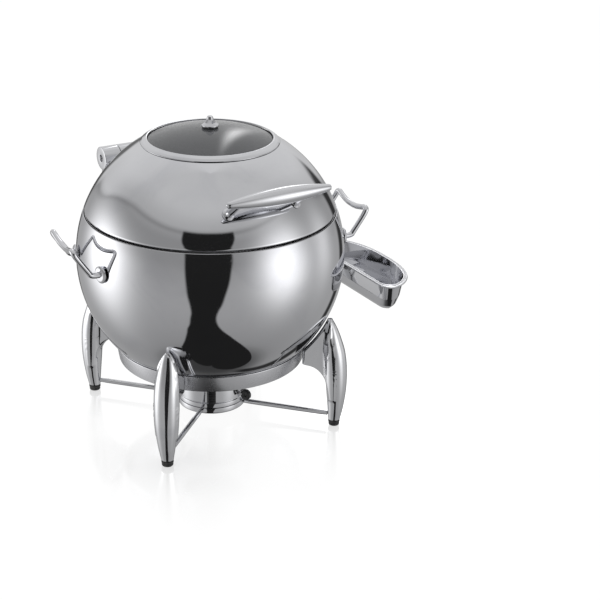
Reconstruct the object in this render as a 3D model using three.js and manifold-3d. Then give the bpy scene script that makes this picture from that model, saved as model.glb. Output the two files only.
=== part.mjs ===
// Round buffet soup kettle: a mirror steel ball on a four-legged stand, with a hinged lid, a fuel
// burner below it and a spoon dish at its side. Millimetres, +Z up. The lid handle faces -Y, the
// hinge is at +Y and the carrying handles are at +X and -X.
import * as THREE from 'three';
import { mergeVertices } from 'three/addons/utils/BufferGeometryUtils.js';
import Module from 'manifold-3d';

const wasm = await Module();
wasm.setup();

// ---- driving dimensions ----
const GAP = 0.3; // between pieces that touch
const RUN = 0.5; // round a piece that turns or slides
const SEG = 40; // facets round the large turned pieces
const BALL_SIDES = 60; // facets round the ball that hollows what lies against it

const BALL_R = 190; // outside of the bowl and the lid
const BASE_Z = 111; // flat underside of the bowl above the floor
const BASE_R = 137.62; // where the ball shape ends above it
const BASE_DEEP = 3; // from there down to the underside
const WALL = 1.5; // bowl and lid sheet
const SEAM = 69; // lid edge above the ball centre
const SEAM_GAP = 2.8; // shadow gap between bowl and lid
const LID_INSET = 2.4; // the lid edge stands inside the bowl edge
const BOWL_FOOT = Math.sqrt(BALL_R ** 2 - BASE_R ** 2); // end of the ball shape below the centre
const BOWL_BASE = BOWL_FOOT + BASE_DEEP;
const BALL_Z = BASE_Z + BOWL_BASE; // ball centre above the floor

const RIM_W = 23; // width of the bowl's inner flange
const RIM_LIP = 9; // depth of its inner lip
const POT_SIDE = 4.8; // soup insert clear of the inner flange
const POT_OVER_FLOOR = 28; // water below the insert
const POT_FLAT_R = 103; // its flat bottom
const POT_WALL = 1.2;
const POT_FLANGE = 14;

const WINDOW_R = 87; // visible glass
const WINDOW_RING_W = 10;
const WINDOW_RING_H = 1.6; // trim ring above the ball surface
const GASKET_W = 3;
const GLASS_T = 4;
const GLASS_RISE = 15.5; // the pane is flatter than the ball

const VENT_R = 12;
const VENT_H = 14;
const VENT_STEM_R = 3;
const VENT_HOLE_R = 1.4;
const WASHER_T = 1.6;

const LID_GRIP_LEN = 158;
const LID_GRIP_ASIDE = 7; // grip middle to the right of the ball axis
const LID_GRIP_R = 12;
const LID_GRIP_END_R = 3.5;
const LID_GRIP_OFF = 36; // grip axis from the lid surface
const LID_GRIP_LIFT = 37.5; // degrees above the level of the ball centre
const LID_POST_R = 4.5;
const LID_POST_SPAN = 100;
const LID_FOOT_R = 9;

const HINGE_OFF = 25.11; // hinge axis from the ball
const HINGE_AT = 26.804; // and above the level of its centre, degrees
const HINGE_R = 17;
const HINGE_LEN = 160;
const KNUCKLE_LEN = 26;
const HINGE_PIN_R = 5;
const BRACKET_DROP = 46; // bracket foot below the bowl edge
const LEAF_W = 78;
const LEAF_T = 3.6;
const LEAF_UP = 24; // leaf above the hinge axis, along the lid
const LUG_H = 13; // neck between leaf and barrel

const HANDLE_ROD_R = 4;
const HANDLE_SPAN = 90;
const HANDLE_UP = 15.5;
const HANDLE_OFF = 7; // where the rods bend upwards, from the ball
const HANDLE_RISE = 36.5;
const HANDLE_REACH = 23.5;
const HANDLE_DIP = 6; // of the top bar, in the middle
const HANDLE_AHEAD = 9.8; // middle of each handle ahead of the ball axis
const HANDLE_TURN = -4.9; // the pair of handles on the ball, degrees
const BOSS_R = 12;
const BOSS_T = 4;

const DISH_OFF = 11; // inner side from the ball
const DISH_W = 73.5;
const DISH_LEN = 224;
const DISH_AHEAD = 41; // dish middle ahead of the ball axis
const DISH_DROP = 42; // rim below the ball centre
const DISH_WALL = 1.6;
const DISH_BOW = 2.35; // exponent of its bowed side
const DISH_CORNER = 20;
// distance in from the rim and below it, from the flat underside up
const DISH_WALL_LINE = [[28, 52], [23, 50.5], [14.5, 41], [9.5, 27], [7, 13], [5.4, 2]];
const DISH_BRACKET_AHEAD = 6;
const DISH_BRACKET_W = 36;

const RING_R = BASE_R + 0.38; // at the top, outside
const RING_TAPER = 4;
const RING_EDGE = BASE_Z + 2.5; // top of its outside
const RING_FOOT = BASE_Z - 21;
const RING_WALL = 3;
const RING_SEAT_W = 8; // shelf that the bowl stands on

const RING_FOOT_R = RING_R - RING_TAPER;
const RING_SEAT_R = RING_R - RING_SEAT_W;

const STAND_TURN = -2; // the stand under the ball, degrees
const LEG_ANGLES = { front_left: 225, front_right: 315, rear_left: 135, rear_right: 45 };
const LEG_FOOT = 8;
const LEG_TIP = BASE_Z + 55;
const LEG_TIP_OFF = 5.4; // tip of the leg from the ball
// share of the leg's height, distance out from its tip, half depth, half width
const LEG_STATIONS = [
  [0, 8.8, 8.5, 8.5],
  [0.139, 10.3, 11.5, 12.3],
  [0.329, 10.8, 14.5, 16],
  [0.519, 9.8, 15.5, 17.2],
  [0.677, 7.8, 14.5, 16.5],
  [0.804, 4.8, 11.5, 13.8],
  [0.899, 2.4, 8, 10],
  [0.962, 0.8, 4.6, 6],
  [1, 0, 1.6, 2.2],
];
const LEG_SIDES = 14;
const WEB_T = 20;
const WEB_LOW = BASE_Z - 69; // where the arch leaves the leg
// underside of the arch: share of the way from ring to leg, depth below the bowl
const WEB_ARCH = [[1, 69], [0.895, 49], [0.72, 33], [0.485, 23], [0.25, 19]];
const PAD_H = 8;
const SCREW_R = 4;
const SCREW_H = 2.5;

const ROD_R = 3.5;
const ROD_Z = 16.5;
const CAN_R = 41;
const CAN_H = 52;
const BURNER_R = CAN_R + 8;
const TRAY_R = BURNER_R + 0.5;
const TRAY_Z = 11.5;
const TRAY_H = 9;
const TRAY_T = 2;
const BURNER_H = 60;
const BURNER_WALL = 1.5;
const BURNER_TURN = -28; // how the burner stands in its tray, degrees
const DAMPER_H = 12;
const DAMPER_T = 1.6;
const DAMPER_UP = 14; // lever above the tray floor
const DAMPER_AT = 54; // lever round from the burner grip, degrees
const DAMPER_SWEEP = 45;
const LEVER_T = 3;
const LEVER_W = 7;
const LEVER_OUT = 7;
const KNOB_R = 8;
const KNOB_T = 7;
const KNOB_EYE_R = 2.6;
const GRIP_W = 12;
const GRIP_H = 34;
const GRIP_T = 5;
const STEM_W = 7;
const STEM_H = 8;

// ---- materials ----
const finish = (color, roughness, metalness, more = {}) => new THREE.MeshStandardMaterial(
  { color, roughness, metalness, ...more });
const MIRROR = finish(0xc8cacd, 0.08, 1);
const SATIN = finish(0xb4b6b9, 0.35, 1);
const CAST = finish(0xbcbec2, 0.14, 1);
const RUBBER = finish(0x17181a, 0.7, 0);
const BLACK = finish(0x1c1c1e, 0.4, 0);
const TIN = finish(0x9aa0a6, 0.4, 1);
const GLASS = finish(0x55595e, 0.05, 0, { transparent: true, opacity: 0.5 });

// ---- helpers ----
const rad = THREE.MathUtils.degToRad;
const ballRadiusAt = (up, r = BALL_R) => Math.sqrt(r * r - up * up);
const ballHeightAt = (out, r = BALL_R) => Math.sqrt(r * r - out * out);

// Only positions, shared vertices, faces pointing out.
function closed(geometry) {
  const bare = new THREE.BufferGeometry();
  bare.setAttribute('position', geometry.getAttribute('position'));
  if (geometry.index) bare.setIndex(geometry.index);
  const merged = mergeVertices(bare, 1e-4);
  const p = merged.getAttribute('position');
  const index = [];
  let volume = 0;
  const v = [0, 1, 2].map(() => new THREE.Vector3());
  for (let i = 0; i < merged.index.count; i += 3) {
    const t = [0, 1, 2].map((k) => merged.index.getX(i + k));
    if (t[0] === t[1] || t[1] === t[2] || t[2] === t[0]) continue;
    v.forEach((corner, k) => corner.fromBufferAttribute(p, t[k]));
    volume += v[0].dot(v[1].clone().cross(v[2]));
    index.push(...t);
  }
  merged.setIndex(volume < 0 ? index.reverse() : index);
  return merged;
}

function solid(geometry) {
  const g = closed(geometry);
  return new wasm.Manifold(new wasm.Mesh({
    numProp: 3,
    vertProperties: new Float32Array(g.getAttribute('position').array),
    triVerts: new Uint32Array(g.index.array),
  }));
}

function fromSolid(manifold) {
  const mesh = manifold.getMesh();
  const g = new THREE.BufferGeometry();
  g.setAttribute('position', new THREE.BufferAttribute(new Float32Array(mesh.vertProperties), 3));
  g.setIndex(new THREE.BufferAttribute(new Uint32Array(mesh.triVerts), 1));
  return g;
}

const join = (first, ...rest) => fromSolid(rest.reduce((sum, g) => sum.add(solid(g)), solid(first)));
const cut = (first, ...rest) => fromSolid(rest.reduce((sum, g) => sum.subtract(solid(g)), solid(first)));

// profile: [distance from the axis, height] pairs, closed on the axis or on itself
function turned(profile, segments = SEG) {
  const points = profile.map(([r, z]) => new THREE.Vector2(Math.max(r, 0), z));
  return new THREE.LatheGeometry(points, segments).rotateX(Math.PI / 2);
}

const ringTurned = (profile, segments = SEG) => turned([...profile, profile[0]], segments);

// points on the ball between two heights above its centre
function ballArc(r, fromUp, toUp, steps) {
  const a = Math.asin(fromUp / r);
  const b = Math.asin(toUp / r);
  return Array.from({ length: steps + 1 }, (_, i) => {
    const t = a + ((b - a) * i) / steps;
    return [r * Math.cos(t), BALL_Z + r * Math.sin(t)];
  });
}

function rod(curve, radius, sides, steps) {
  const shape = new THREE.Shape();
  shape.absarc(0, 0, radius, 0, Math.PI * 2);
  const how = { steps, curveSegments: sides / 2, bevelEnabled: false, extrudePath: curve };
  return new THREE.ExtrudeGeometry(shape, how);
}

// a skin over equal rings of points, closed with a fan at each end
function loft(rings) {
  const n = rings[0].length;
  const points = rings.flat();
  const index = [];
  for (let k = 0; k + 1 < rings.length; k++) {
    for (let i = 0; i < n; i++) {
      const j = (i + 1) % n;
      const [a, b, c, d] = [k * n + i, k * n + j, (k + 1) * n + j, (k + 1) * n + i];
      index.push(a, b, c, a, c, d);
    }
  }
  for (const [first, flip] of [[0, true], [(rings.length - 1) * n, false]]) {
    const middle = new THREE.Vector3();
    for (let i = 0; i < n; i++) middle.addScaledVector(points[first + i], 1 / n);
    points.push(middle);
    const centre = points.length - 1;
    for (let i = 0; i < n; i++) {
      const j = (i + 1) % n;
      index.push(...(flip ? [centre, first + j, first + i] : [centre, first + i, first + j]));
    }
  }
  const g = new THREE.BufferGeometry().setFromPoints(points);
  g.setIndex(index);
  return g;
}

const meshes = [];
function piece(name, geometry, material) {
  const mesh = new THREE.Mesh(closed(geometry), material);
  mesh.name = name;
  meshes.push(mesh);
  return mesh;
}

// ---- stand ----
const SHELF_TOP = BASE_Z - GAP;
const LEG_OUT = ballRadiusAt(BALL_Z - LEG_TIP) + LEG_TIP_OFF;

function legSpindle() {
  const low = LEG_FOOT + GAP;
  return loft(LEG_STATIONS.map(([share, out, deep, wide]) => Array.from({ length: LEG_SIDES }, (_, i) => {
    const a = (i / LEG_SIDES) * Math.PI * 2;
    const z = low + (LEG_TIP - low) * share;
    return new THREE.Vector3(LEG_OUT + out + deep * Math.cos(a), wide * Math.sin(a), z);
  })));
}

// the arm that cradles the ball and runs down to the ring
function legWeb() {
  const inner = RING_R + GAP;
  const [from, to] = [RING_R + 5, LEG_OUT - 6.7]; // the part that follows the ball
  const shape = new THREE.Shape();
  shape.moveTo(inner, RING_FOOT + 3);
  shape.lineTo(inner, RING_EDGE);
  shape.lineTo(inner + 2.5, RING_EDGE + 1);
  for (let i = 0; i <= 4; i++) {
    const out = from + ((to - from) * i) / 4;
    shape.lineTo(out, BALL_Z - ballHeightAt(out, BALL_R + 1.2));
  }
  shape.lineTo(LEG_OUT + 1.8, LEG_TIP - 10);
  shape.lineTo(LEG_OUT + 8.8, WEB_LOW);
  for (const [share, deep] of WEB_ARCH) shape.lineTo(inner + (LEG_OUT + 2.8 - inner) * share, BASE_Z - deep);
  const g = new THREE.ExtrudeGeometry(shape, { depth: WEB_T, bevelEnabled: false });
  return g.translate(0, 0, -WEB_T / 2).rotateX(Math.PI / 2);
}

function stand() {
  const group = new THREE.Group();
  const shelfLow = SHELF_TOP - RING_WALL;
  const ring = ringTurned([
    [RING_R, RING_EDGE],
    [RING_FOOT_R, RING_FOOT],
    [RING_FOOT_R - RING_WALL, RING_FOOT],
    [RING_R - RING_WALL - 1, shelfLow],
    [RING_SEAT_R, shelfLow],
    [RING_SEAT_R, SHELF_TOP],
    [RING_SEAT_R + 2.6, SHELF_TOP],
  ]);
  group.add(piece('base_ring', ring, MIRROR));

  for (const [place, angle] of Object.entries(LEG_ANGLES)) {
    const spot = new THREE.Group();
    spot.rotation.z = rad(angle + STAND_TURN);
    const foot = LEG_STATIONS[0];
    spot.add(piece(`leg_${place}`, join(legSpindle(), legWeb()), CAST));
    const pad = turned([[0, 0], [foot[2] - 1.5, 0], [foot[2], 2], [foot[2], PAD_H], [0, PAD_H]], 16);
    pad.translate(LEG_OUT + foot[1], 0, 0);
    spot.add(piece(`foot_pad_${place}`, pad, RUBBER));

    const rodIn = TRAY_R + GAP;
    const rodOut = LEG_OUT + foot[1] - foot[2] - 1.6;
    const bar = new THREE.CylinderGeometry(ROD_R, ROD_R, rodOut - rodIn, 10).rotateZ(Math.PI / 2);
    bar.translate((rodIn + rodOut) / 2, 0, ROD_Z);
    spot.add(piece(`cross_rod_${place}`, bar, CAST));

    const slope = Math.atan2(RING_R - RING_FOOT_R, RING_EDGE - RING_FOOT);
    const screw = turned([[0, 0], [SCREW_R, 0], [SCREW_R * 0.8, SCREW_H], [0, SCREW_H]], 12);
    screw.rotateY(-Math.PI / 2 + slope);
    const screwZ = (RING_FOOT + shelfLow) / 2;
    const screwR = RING_FOOT_R - RING_WALL + (screwZ - RING_FOOT) * Math.tan(slope);
    const headClear = GAP + 0.2 + screwR * (1 - Math.cos(Math.PI / SEG));
    screw.translate(screwR - headClear, 0, screwZ);
    spot.add(piece(`leg_screw_${place}`, screw, SATIN));
    group.add(spot);
  }

  const tray = turned([
    [0, TRAY_Z],
    [TRAY_R, TRAY_Z],
    [TRAY_R, TRAY_Z + TRAY_H],
    [TRAY_R - TRAY_T + 0.5, TRAY_Z + TRAY_H],
    [TRAY_R - TRAY_T, TRAY_Z + TRAY_T],
    [0, TRAY_Z + TRAY_T],
  ]);
  group.add(piece('fuel_tray', tray, MIRROR));
  return group;
}

// ---- burner ----
const TRAY_FLOOR = TRAY_Z + TRAY_T;
const BURNER_Z = TRAY_Z + TRAY_H + GAP;
const GRIP_Z = BURNER_Z + 26;

function arcBlock(innerR, outerR, from, to, low, high) {
  const shape = new THREE.Shape();
  shape.absarc(0, 0, outerR, rad(from), rad(to), false);
  shape.absarc(0, 0, innerR, rad(to), rad(from), true);
  const g = new THREE.ExtrudeGeometry(shape, { depth: high - low, bevelEnabled: false, curveSegments: 12 });
  return g.translate(0, 0, low);
}

function burner() {
  const group = new THREE.Group();
  group.rotation.z = rad(BURNER_TURN);
  const top = BURNER_Z + BURNER_H;
  const wallIn = BURNER_R - BURNER_WALL;
  const seat = TRAY_R - TRAY_T - GAP - 0.5;
  const shell = ringTurned([
    [BURNER_R, BURNER_Z],
    [BURNER_R, top - 3],
    [BURNER_R - 3, top],
    [CAN_R + 1.5, top],
    [CAN_R + 1.5, top - BURNER_WALL],
    [wallIn - 2, top - BURNER_WALL],
    [wallIn, top - 3],
    [wallIn, BURNER_Z + BURNER_WALL],
    [seat - BURNER_WALL, BURNER_Z + BURNER_WALL],
    [seat - BURNER_WALL, TRAY_FLOOR + GAP],
    [seat, TRAY_FLOOR + GAP],
    [seat, BURNER_Z],
  ]);
  const leverLow = BURNER_Z + DAMPER_UP;
  const lever = 270 + DAMPER_AT;
  const half = Math.atan2(LEVER_W / 2 + RUN, BURNER_R) / rad(1);
  const [from, to] = [lever - half, lever + half + DAMPER_SWEEP];
  const slot = arcBlock(wallIn - 4, BURNER_R + 3, from, to, leverLow - RUN, leverLow + LEVER_T + RUN);
  group.add(piece('burner_housing', cut(shell, slot), MIRROR));

  const can = turned([
    [0, TRAY_FLOOR + GAP],
    [CAN_R, TRAY_FLOOR + GAP],
    [CAN_R, TRAY_FLOOR + CAN_H],
    [CAN_R - 2, TRAY_FLOOR + CAN_H],
    [CAN_R - 2, TRAY_FLOOR + CAN_H - 4],
    [CAN_R * 0.5, TRAY_FLOOR + CAN_H - 4],
    [CAN_R * 0.5, TRAY_FLOOR + CAN_H - 10],
    [0, TRAY_FLOOR + CAN_H - 10],
  ], 28);
  group.add(piece('fuel_can', can, TIN));

  const off = 0.7; // grip clear of the housing
  const grip = new THREE.BoxGeometry(GRIP_W, GRIP_T, GRIP_H);
  grip.translate(0, -(BURNER_R + GAP + off + GRIP_T / 2), GRIP_Z);
  const stem = new THREE.BoxGeometry(STEM_W, off + 3, STEM_H);
  stem.translate(0, -(BURNER_R + GAP + (off + 3) / 2), GRIP_Z + 2);
  group.add(piece('burner_grip', join(grip, stem), BLACK));
  return group;
}

// a ring inside the burner, turned by a lever that stands out of its slot
function damper() {
  const group = new THREE.Group();
  group.rotation.z = rad(BURNER_TURN);
  const outer = BURNER_R - BURNER_WALL - RUN - 0.4;
  const low = BURNER_Z + DAMPER_UP - 4;
  const ring = ringTurned([
    [outer, low], [outer, low + DAMPER_H], [outer - DAMPER_T, low + DAMPER_H], [outer - DAMPER_T, low],
  ]);
  const reach = BURNER_R + LEVER_OUT - (outer - 1);
  const arm = new THREE.BoxGeometry(reach, LEVER_W, LEVER_T);
  arm.translate(outer - 1 + reach / 2, 0, BURNER_Z + DAMPER_UP + LEVER_T / 2);
  arm.rotateZ(rad(270 + DAMPER_AT));
  group.add(piece('damper_ring', join(ring, arm), SATIN));

  const knob = new THREE.Group();
  knob.rotation.z = rad(270 + DAMPER_AT);
  const disc = (r, t, sides, at) => new THREE.CylinderGeometry(r, r, t, sides)
    .rotateX(Math.PI / 2).translate(at, 0, 0);
  const head = disc(KNOB_R, KNOB_T, 20, BURNER_R + LEVER_OUT + KNOB_R - 3);
  const eye = disc(KNOB_EYE_R, KNOB_T + 2, 12, BURNER_R + LEVER_OUT + KNOB_R - 1);
  const pocket = new THREE.BoxGeometry(LEVER_OUT, LEVER_W + 2 * GAP, LEVER_T + 2 * GAP);
  pocket.translate(BURNER_R + LEVER_OUT / 2 + GAP, 0, 0);
  const black = cut(head, eye, pocket);
  black.translate(0, 0, BURNER_Z + DAMPER_UP + LEVER_T / 2);
  knob.add(piece('damper_knob', black, BLACK));
  group.add(knob);
  return group;
}

// ---- bowl ----
const BOWL_EDGE = SEAM - SEAM_GAP;

function bowl() {
  const inside = BALL_R - WALL;
  const flatR = ballRadiusAt(BOWL_FOOT) - 5;
  return turned([
    [0, BALL_Z - BOWL_BASE],
    [flatR, BALL_Z - BOWL_BASE],
    ...ballArc(BALL_R, -BOWL_FOOT, BOWL_EDGE, 9),
    ...ballArc(inside, BOWL_EDGE, -BOWL_FOOT + WALL, 9),
    [flatR - 1, BALL_Z - BOWL_BASE + WALL],
    [0, BALL_Z - BOWL_BASE + WALL],
  ]);
}

const RIM_TOP = BALL_Z + BOWL_EDGE - GAP;
const RIM_OUT = ballRadiusAt(BOWL_EDGE, BALL_R - WALL) - GAP - 0.4;

function rim() {
  const inner = RIM_OUT - RIM_W;
  return ringTurned([
    [RIM_OUT, RIM_TOP],
    [RIM_OUT, RIM_TOP - WALL],
    [inner + WALL, RIM_TOP - WALL],
    [inner + WALL, RIM_TOP - RIM_LIP],
    [inner, RIM_TOP - RIM_LIP],
    [inner, RIM_TOP],
  ]);
}

function pot() {
  const top = RIM_TOP + GAP + POT_WALL;
  const floor = BASE_Z + WALL + POT_OVER_FLOOR;
  const outside = RIM_OUT - RIM_W - POT_SIDE;
  const bend = outside - POT_FLAT_R;
  const corner = (lift) => [0, 1, 2, 3, 4].map((i) => {
    const a = (i / 4) * (Math.PI / 2);
    return [POT_FLAT_R + (bend - lift) * Math.sin(a), floor + lift + (bend - lift) * (1 - Math.cos(a))];
  });
  return turned([
    [0, floor],
    ...corner(0),
    [outside, top - POT_WALL],
    [outside + POT_FLANGE, top - POT_WALL],
    [outside + POT_FLANGE, top],
    [outside - POT_WALL, top],
    ...corner(POT_WALL).reverse(),
    [0, floor + POT_WALL],
  ]);
}

const HANDLE_OUT = BALL_R + HANDLE_OFF;

function sideHandle(side) {
  const group = new THREE.Group();
  const left = side === 'left';
  group.rotation.z = rad(HANDLE_TURN) + (left ? Math.PI : 0);
  const half = HANDLE_SPAN / 2;
  const ahead = left ? HANDLE_AHEAD : -HANDLE_AHEAD; // along local y
  const z = BALL_Z + HANDLE_UP;
  const faceAt = (y) => Math.sqrt(BALL_R ** 2 - HANDLE_UP ** 2 - y ** 2);
  for (const [end, s] of [['front', left ? 1 : -1], ['rear', left ? -1 : 1]]) {
    const y = s * half + ahead;
    const edge = [[BOSS_R, GAP], [BOSS_R - 0.6, BOSS_T - 1.5], [BOSS_R - 3, BOSS_T]];
    const disc = turned([[0, GAP], ...edge, [0, BOSS_T]], 20);
    // tipped to lie on the ball
    disc.rotateY(Math.PI / 2).rotateZ(Math.asin(y / BALL_R)).translate(faceAt(y) + 1.2, y, z);
    const hole = new THREE.CylinderGeometry(HANDLE_ROD_R + GAP, HANDLE_ROD_R + GAP, 60, 16);
    hole.rotateZ(Math.PI / 2).translate(faceAt(y), y, z);
    group.add(piece(`handle_boss_${side}_${end}`, cut(disc, hole), MIRROR));
  }
  const corner = new THREE.Vector3(HANDLE_OUT + HANDLE_REACH, half, z + HANDLE_RISE);
  const leg = (s) => {
    const face = faceAt(s * half + ahead);
    return [
      new THREE.Vector3(face + 1.6, s * half, z),
      new THREE.Vector3(HANDLE_OUT - 5, s * half, z),
      new THREE.Vector3(HANDLE_OUT, s * half, z + 1.5),
      new THREE.Vector3(HANDLE_OUT + 2.8, s * half, z + 5.5),
      new THREE.Vector3(corner.x - 3.2, s * half, corner.z - 6),
      new THREE.Vector3(corner.x - 0.6, s * (half - 1), corner.z - 1),
      new THREE.Vector3(corner.x, s * (half - 5), corner.z + 1),
      new THREE.Vector3(corner.x - 0.4, s * (half - 16), corner.z - 2),
      new THREE.Vector3(corner.x - 1, s * 13, corner.z - HANDLE_DIP + 0.6),
    ];
  };
  const middle = new THREE.Vector3(corner.x - 1.2, 0, corner.z - HANDLE_DIP);
  const points = [...leg(-1), middle, ...leg(1).reverse()];
  const curve = new THREE.CatmullRomCurve3(points, false, 'centripetal');
  const bar = rod(curve, HANDLE_ROD_R, 8, 38);
  bar.translate(0, ahead, 0);
  group.add(piece(`side_handle_${side}`, bar, MIRROR));
  return group;
}

// ---- spoon dish ----
const DISH_IN = BALL_R + DISH_OFF;

// outline: straight along the ball with rounded corners, bowed outside
function dishOutline(inset) {
  const half = DISH_LEN / 2 - inset * 1.6;
  const corner = Math.max(DISH_CORNER - inset * 0.3, 8);
  const bow = (t) => (1 - Math.min(t, 1) ** DISH_BOW) ** (1 / DISH_BOW);
  const outer = (y) => inset + (DISH_W - 2 * inset) * bow(Math.abs(y) / half);
  const inner = (y) => {
    const over = Math.max(Math.abs(y) - (half - corner), 0);
    return inset + corner - Math.sqrt(Math.max(corner ** 2 - over ** 2, 0));
  };
  let end = half;
  while (outer(end) < inner(end)) end -= 0.1;
  const points = [];
  const [out, back] = [19, 13];
  for (let i = 0; i < out; i++) {
    const y = -end * Math.cos((Math.PI * i) / (out - 1));
    points.push([outer(y), y]);
  }
  for (let i = 1; i < back; i++) {
    const y = end * Math.cos((Math.PI * i) / back);
    points.push([inner(y), y]);
  }
  return points;
}

const DISH_RIM = BALL_Z - DISH_DROP;

function dish() {
  const ringAt = (inset, drop) => dishOutline(inset)
    .map(([x, y]) => new THREE.Vector3(DISH_IN + x, y - DISH_AHEAD, DISH_RIM - drop));
  const rings = [...DISH_WALL_LINE.map(([inset, drop]) => ringAt(inset, drop)), ringAt(0.6, 2), ringAt(0, 1),
    ringAt(0.6, 0)];
  const inner = DISH_WALL_LINE.map(([inset, drop]) => [inset + DISH_WALL * 0.8, drop - DISH_WALL]).reverse();
  inner[0][1] = 0;
  rings.push(...inner.map(([inset, drop]) => ringAt(inset, drop)));
  return loft(rings);
}

// a plate on the ball with a hook under the dish's rim
function dishBracket() {
  const wide = DISH_BRACKET_W;
  const plateX = DISH_IN - 4;
  const plate = new THREE.BoxGeometry(3, wide, 22).translate(plateX, 0, DISH_RIM - 14);
  const hook = new THREE.BoxGeometry(9, wide, 2.5).translate(DISH_IN - 1, 0, DISH_RIM - 4.2);
  const foot = new THREE.BoxGeometry(30, wide, 16).translate(plateX - 14, 0, DISH_RIM - 17);
  const ball = new THREE.SphereGeometry(BALL_R + GAP + 0.6, BALL_SIDES, BALL_SIDES / 2).rotateX(Math.PI / 2);
  ball.translate(0, DISH_BRACKET_AHEAD, BALL_Z); // drawn about the bracket's own middle
  const lip = DISH_WALL_LINE[DISH_WALL_LINE.length - 1][0];
  const tray = new THREE.BoxGeometry(40, 200, 60).translate(DISH_IN + 20 + lip - GAP, 0, DISH_RIM);
  return cut(join(plate, hook, foot), ball, tray).translate(0, -DISH_BRACKET_AHEAD, 0);
}

// ---- hinge ----
const HINGE_OUT = (BALL_R + HINGE_OFF) * Math.cos(rad(HINGE_AT));
const AXIS_Z = BALL_Z + (BALL_R + HINGE_OFF) * Math.sin(rad(HINGE_AT));

function tubeX(outer, inner, from, to) {
  const soft = 0.8;
  const profile = [
    [inner, from], [outer - soft, from], [outer, from + soft],
    [outer, to - soft], [outer - soft, to], [inner, to],
  ];
  return ringTurned(profile, 20).rotateY(Math.PI / 2).translate(0, HINGE_OUT, AXIS_Z);
}

const rodX = (r, length, sides, y, z) => new THREE.CylinderGeometry(r, r, length, sides)
  .rotateZ(Math.PI / 2).translate(0, y, z);
const ballAt = (r) => new THREE.SphereGeometry(r, BALL_SIDES, BALL_SIDES / 2).rotateX(Math.PI / 2)
  .translate(0, 0, BALL_Z);
const OUTSIDE = BALL_R + GAP + 0.6; // clear of the ball

function hingeOnBowl() {
  const group = new THREE.Group();
  const half = HINGE_LEN / 2;
  for (const [side, s] of [['left', -1], ['right', 1]]) {
    const near = half - KNUCKLE_LEN;
    const knuckle = tubeX(HINGE_R, HINGE_PIN_R + GAP, ...(s > 0 ? [near, half] : [-half, -near]));
    const x = s * (half - KNUCKLE_LEN / 2);
    const low = BALL_Z + BOWL_EDGE - BRACKET_DROP;
    const wide = KNUCKLE_LEN - 4;
    const arm = new THREE.BoxGeometry(wide, 26, AXIS_Z - low);
    arm.translate(x, HINGE_OUT - 8, (AXIS_Z + low) / 2);
    const bore = rodX(HINGE_PIN_R + GAP, HINGE_LEN + 4, 20, HINGE_OUT, AXIS_Z);
    // hollows the arm above the seam, where the lid swings
    const sweepR = HINGE_R + 60;
    const sweep = rodX(sweepR, HINGE_LEN + 4, 36, HINGE_OUT + 3 - sweepR, AXIS_Z + 22);
    const body = join(cut(arm, ballAt(OUTSIDE), sweep), knuckle);
    group.add(piece(`hinge_bracket_${side}`, cut(body, bore), MIRROR));
  }
  group.add(piece('hinge_pin', rodX(HINGE_PIN_R, HINGE_LEN - 6, 20, HINGE_OUT, AXIS_Z), SATIN));
  return group;
}

function hingeOnLid() {
  const half = HINGE_LEN / 2 - KNUCKLE_LEN - RUN;
  const barrel = tubeX(HINGE_R, HINGE_PIN_R + GAP, -half, half);
  const reach = BALL_R + HINGE_OFF;
  // local z runs along the lid, away from the seam
  const placed = (g) => solid(g.rotateX(rad(HINGE_AT)).translate(0, 0, BALL_Z));
  const patch = new THREE.BoxGeometry(LEAF_W, 40, LEAF_UP + LUG_H / 2)
    .translate(0, BALL_R - 6, (LEAF_UP - LUG_H / 2) / 2);
  const lug = new THREE.BoxGeometry(LEAF_W, reach - OUTSIDE + 4, LUG_H);
  lug.translate(0, (reach + OUTSIDE) / 2 - 2, 0);
  const leaf = placed(patch).intersect(solid(ballAt(OUTSIDE + LEAF_T))).add(placed(lug));
  const whole = leaf.subtract(solid(ballAt(OUTSIDE))).add(solid(barrel));
  const bore = rodX(HINGE_PIN_R + GAP, HINGE_LEN, 20, HINGE_OUT, AXIS_Z);
  return piece('hinge_barrel', cut(fromSolid(whole), bore), MIRROR);
}

// ---- lid ----
function lidShell() {
  const edgeR = ballRadiusAt(SEAM) - LID_INSET;
  const windowUp = ballHeightAt(WINDOW_R + GASKET_W);
  const inside = BALL_R - WALL;
  const insideUp = ballHeightAt(WINDOW_R + GASKET_W, inside);
  return ringTurned([
    [edgeR, BALL_Z + SEAM],
    ...ballArc(BALL_R, SEAM + 7, windowUp, 6),
    ...ballArc(inside, insideUp, SEAM + 7, 6),
    [edgeR - WALL, BALL_Z + SEAM + WALL],
    [edgeR - 8, BALL_Z + SEAM + WALL],
    [edgeR - 8, BALL_Z + SEAM],
  ]);
}

function windowRing() {
  const over = BALL_R + GAP + 0.5;
  const outR = WINDOW_R + WINDOW_RING_W;
  const at = (out, r) => [out, BALL_Z + ballHeightAt(out, r)];
  return ringTurned([
    at(outR, over),
    at(outR - 1.2, over + WINDOW_RING_H),
    at(WINDOW_R + 1, over + WINDOW_RING_H),
    at(WINDOW_R, over + WINDOW_RING_H - 1),
    at(WINDOW_R, over),
  ]);
}

function gasket() {
  const out = WINDOW_R + GASKET_W - GAP;
  const inner = WINDOW_R + 0.4;
  const at = (r, radius) => [r, BALL_Z + ballHeightAt(r, radius)];
  return ringTurned([at(out, BALL_R), at(out, BALL_R - 5), at(inner, BALL_R - 5), at(inner, BALL_R)]);
}

// the pane's own ball: its radius, and how far its middle lies above the kettle's
const PANE_EDGE = WINDOW_R - GAP / 2;
const PANE_R = (PANE_EDGE ** 2 + GLASS_RISE ** 2) / (2 * GLASS_RISE);
const PANE_TOP = BALL_Z + ballHeightAt(WINDOW_R, BALL_R - 0.4) + GLASS_RISE;

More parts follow.
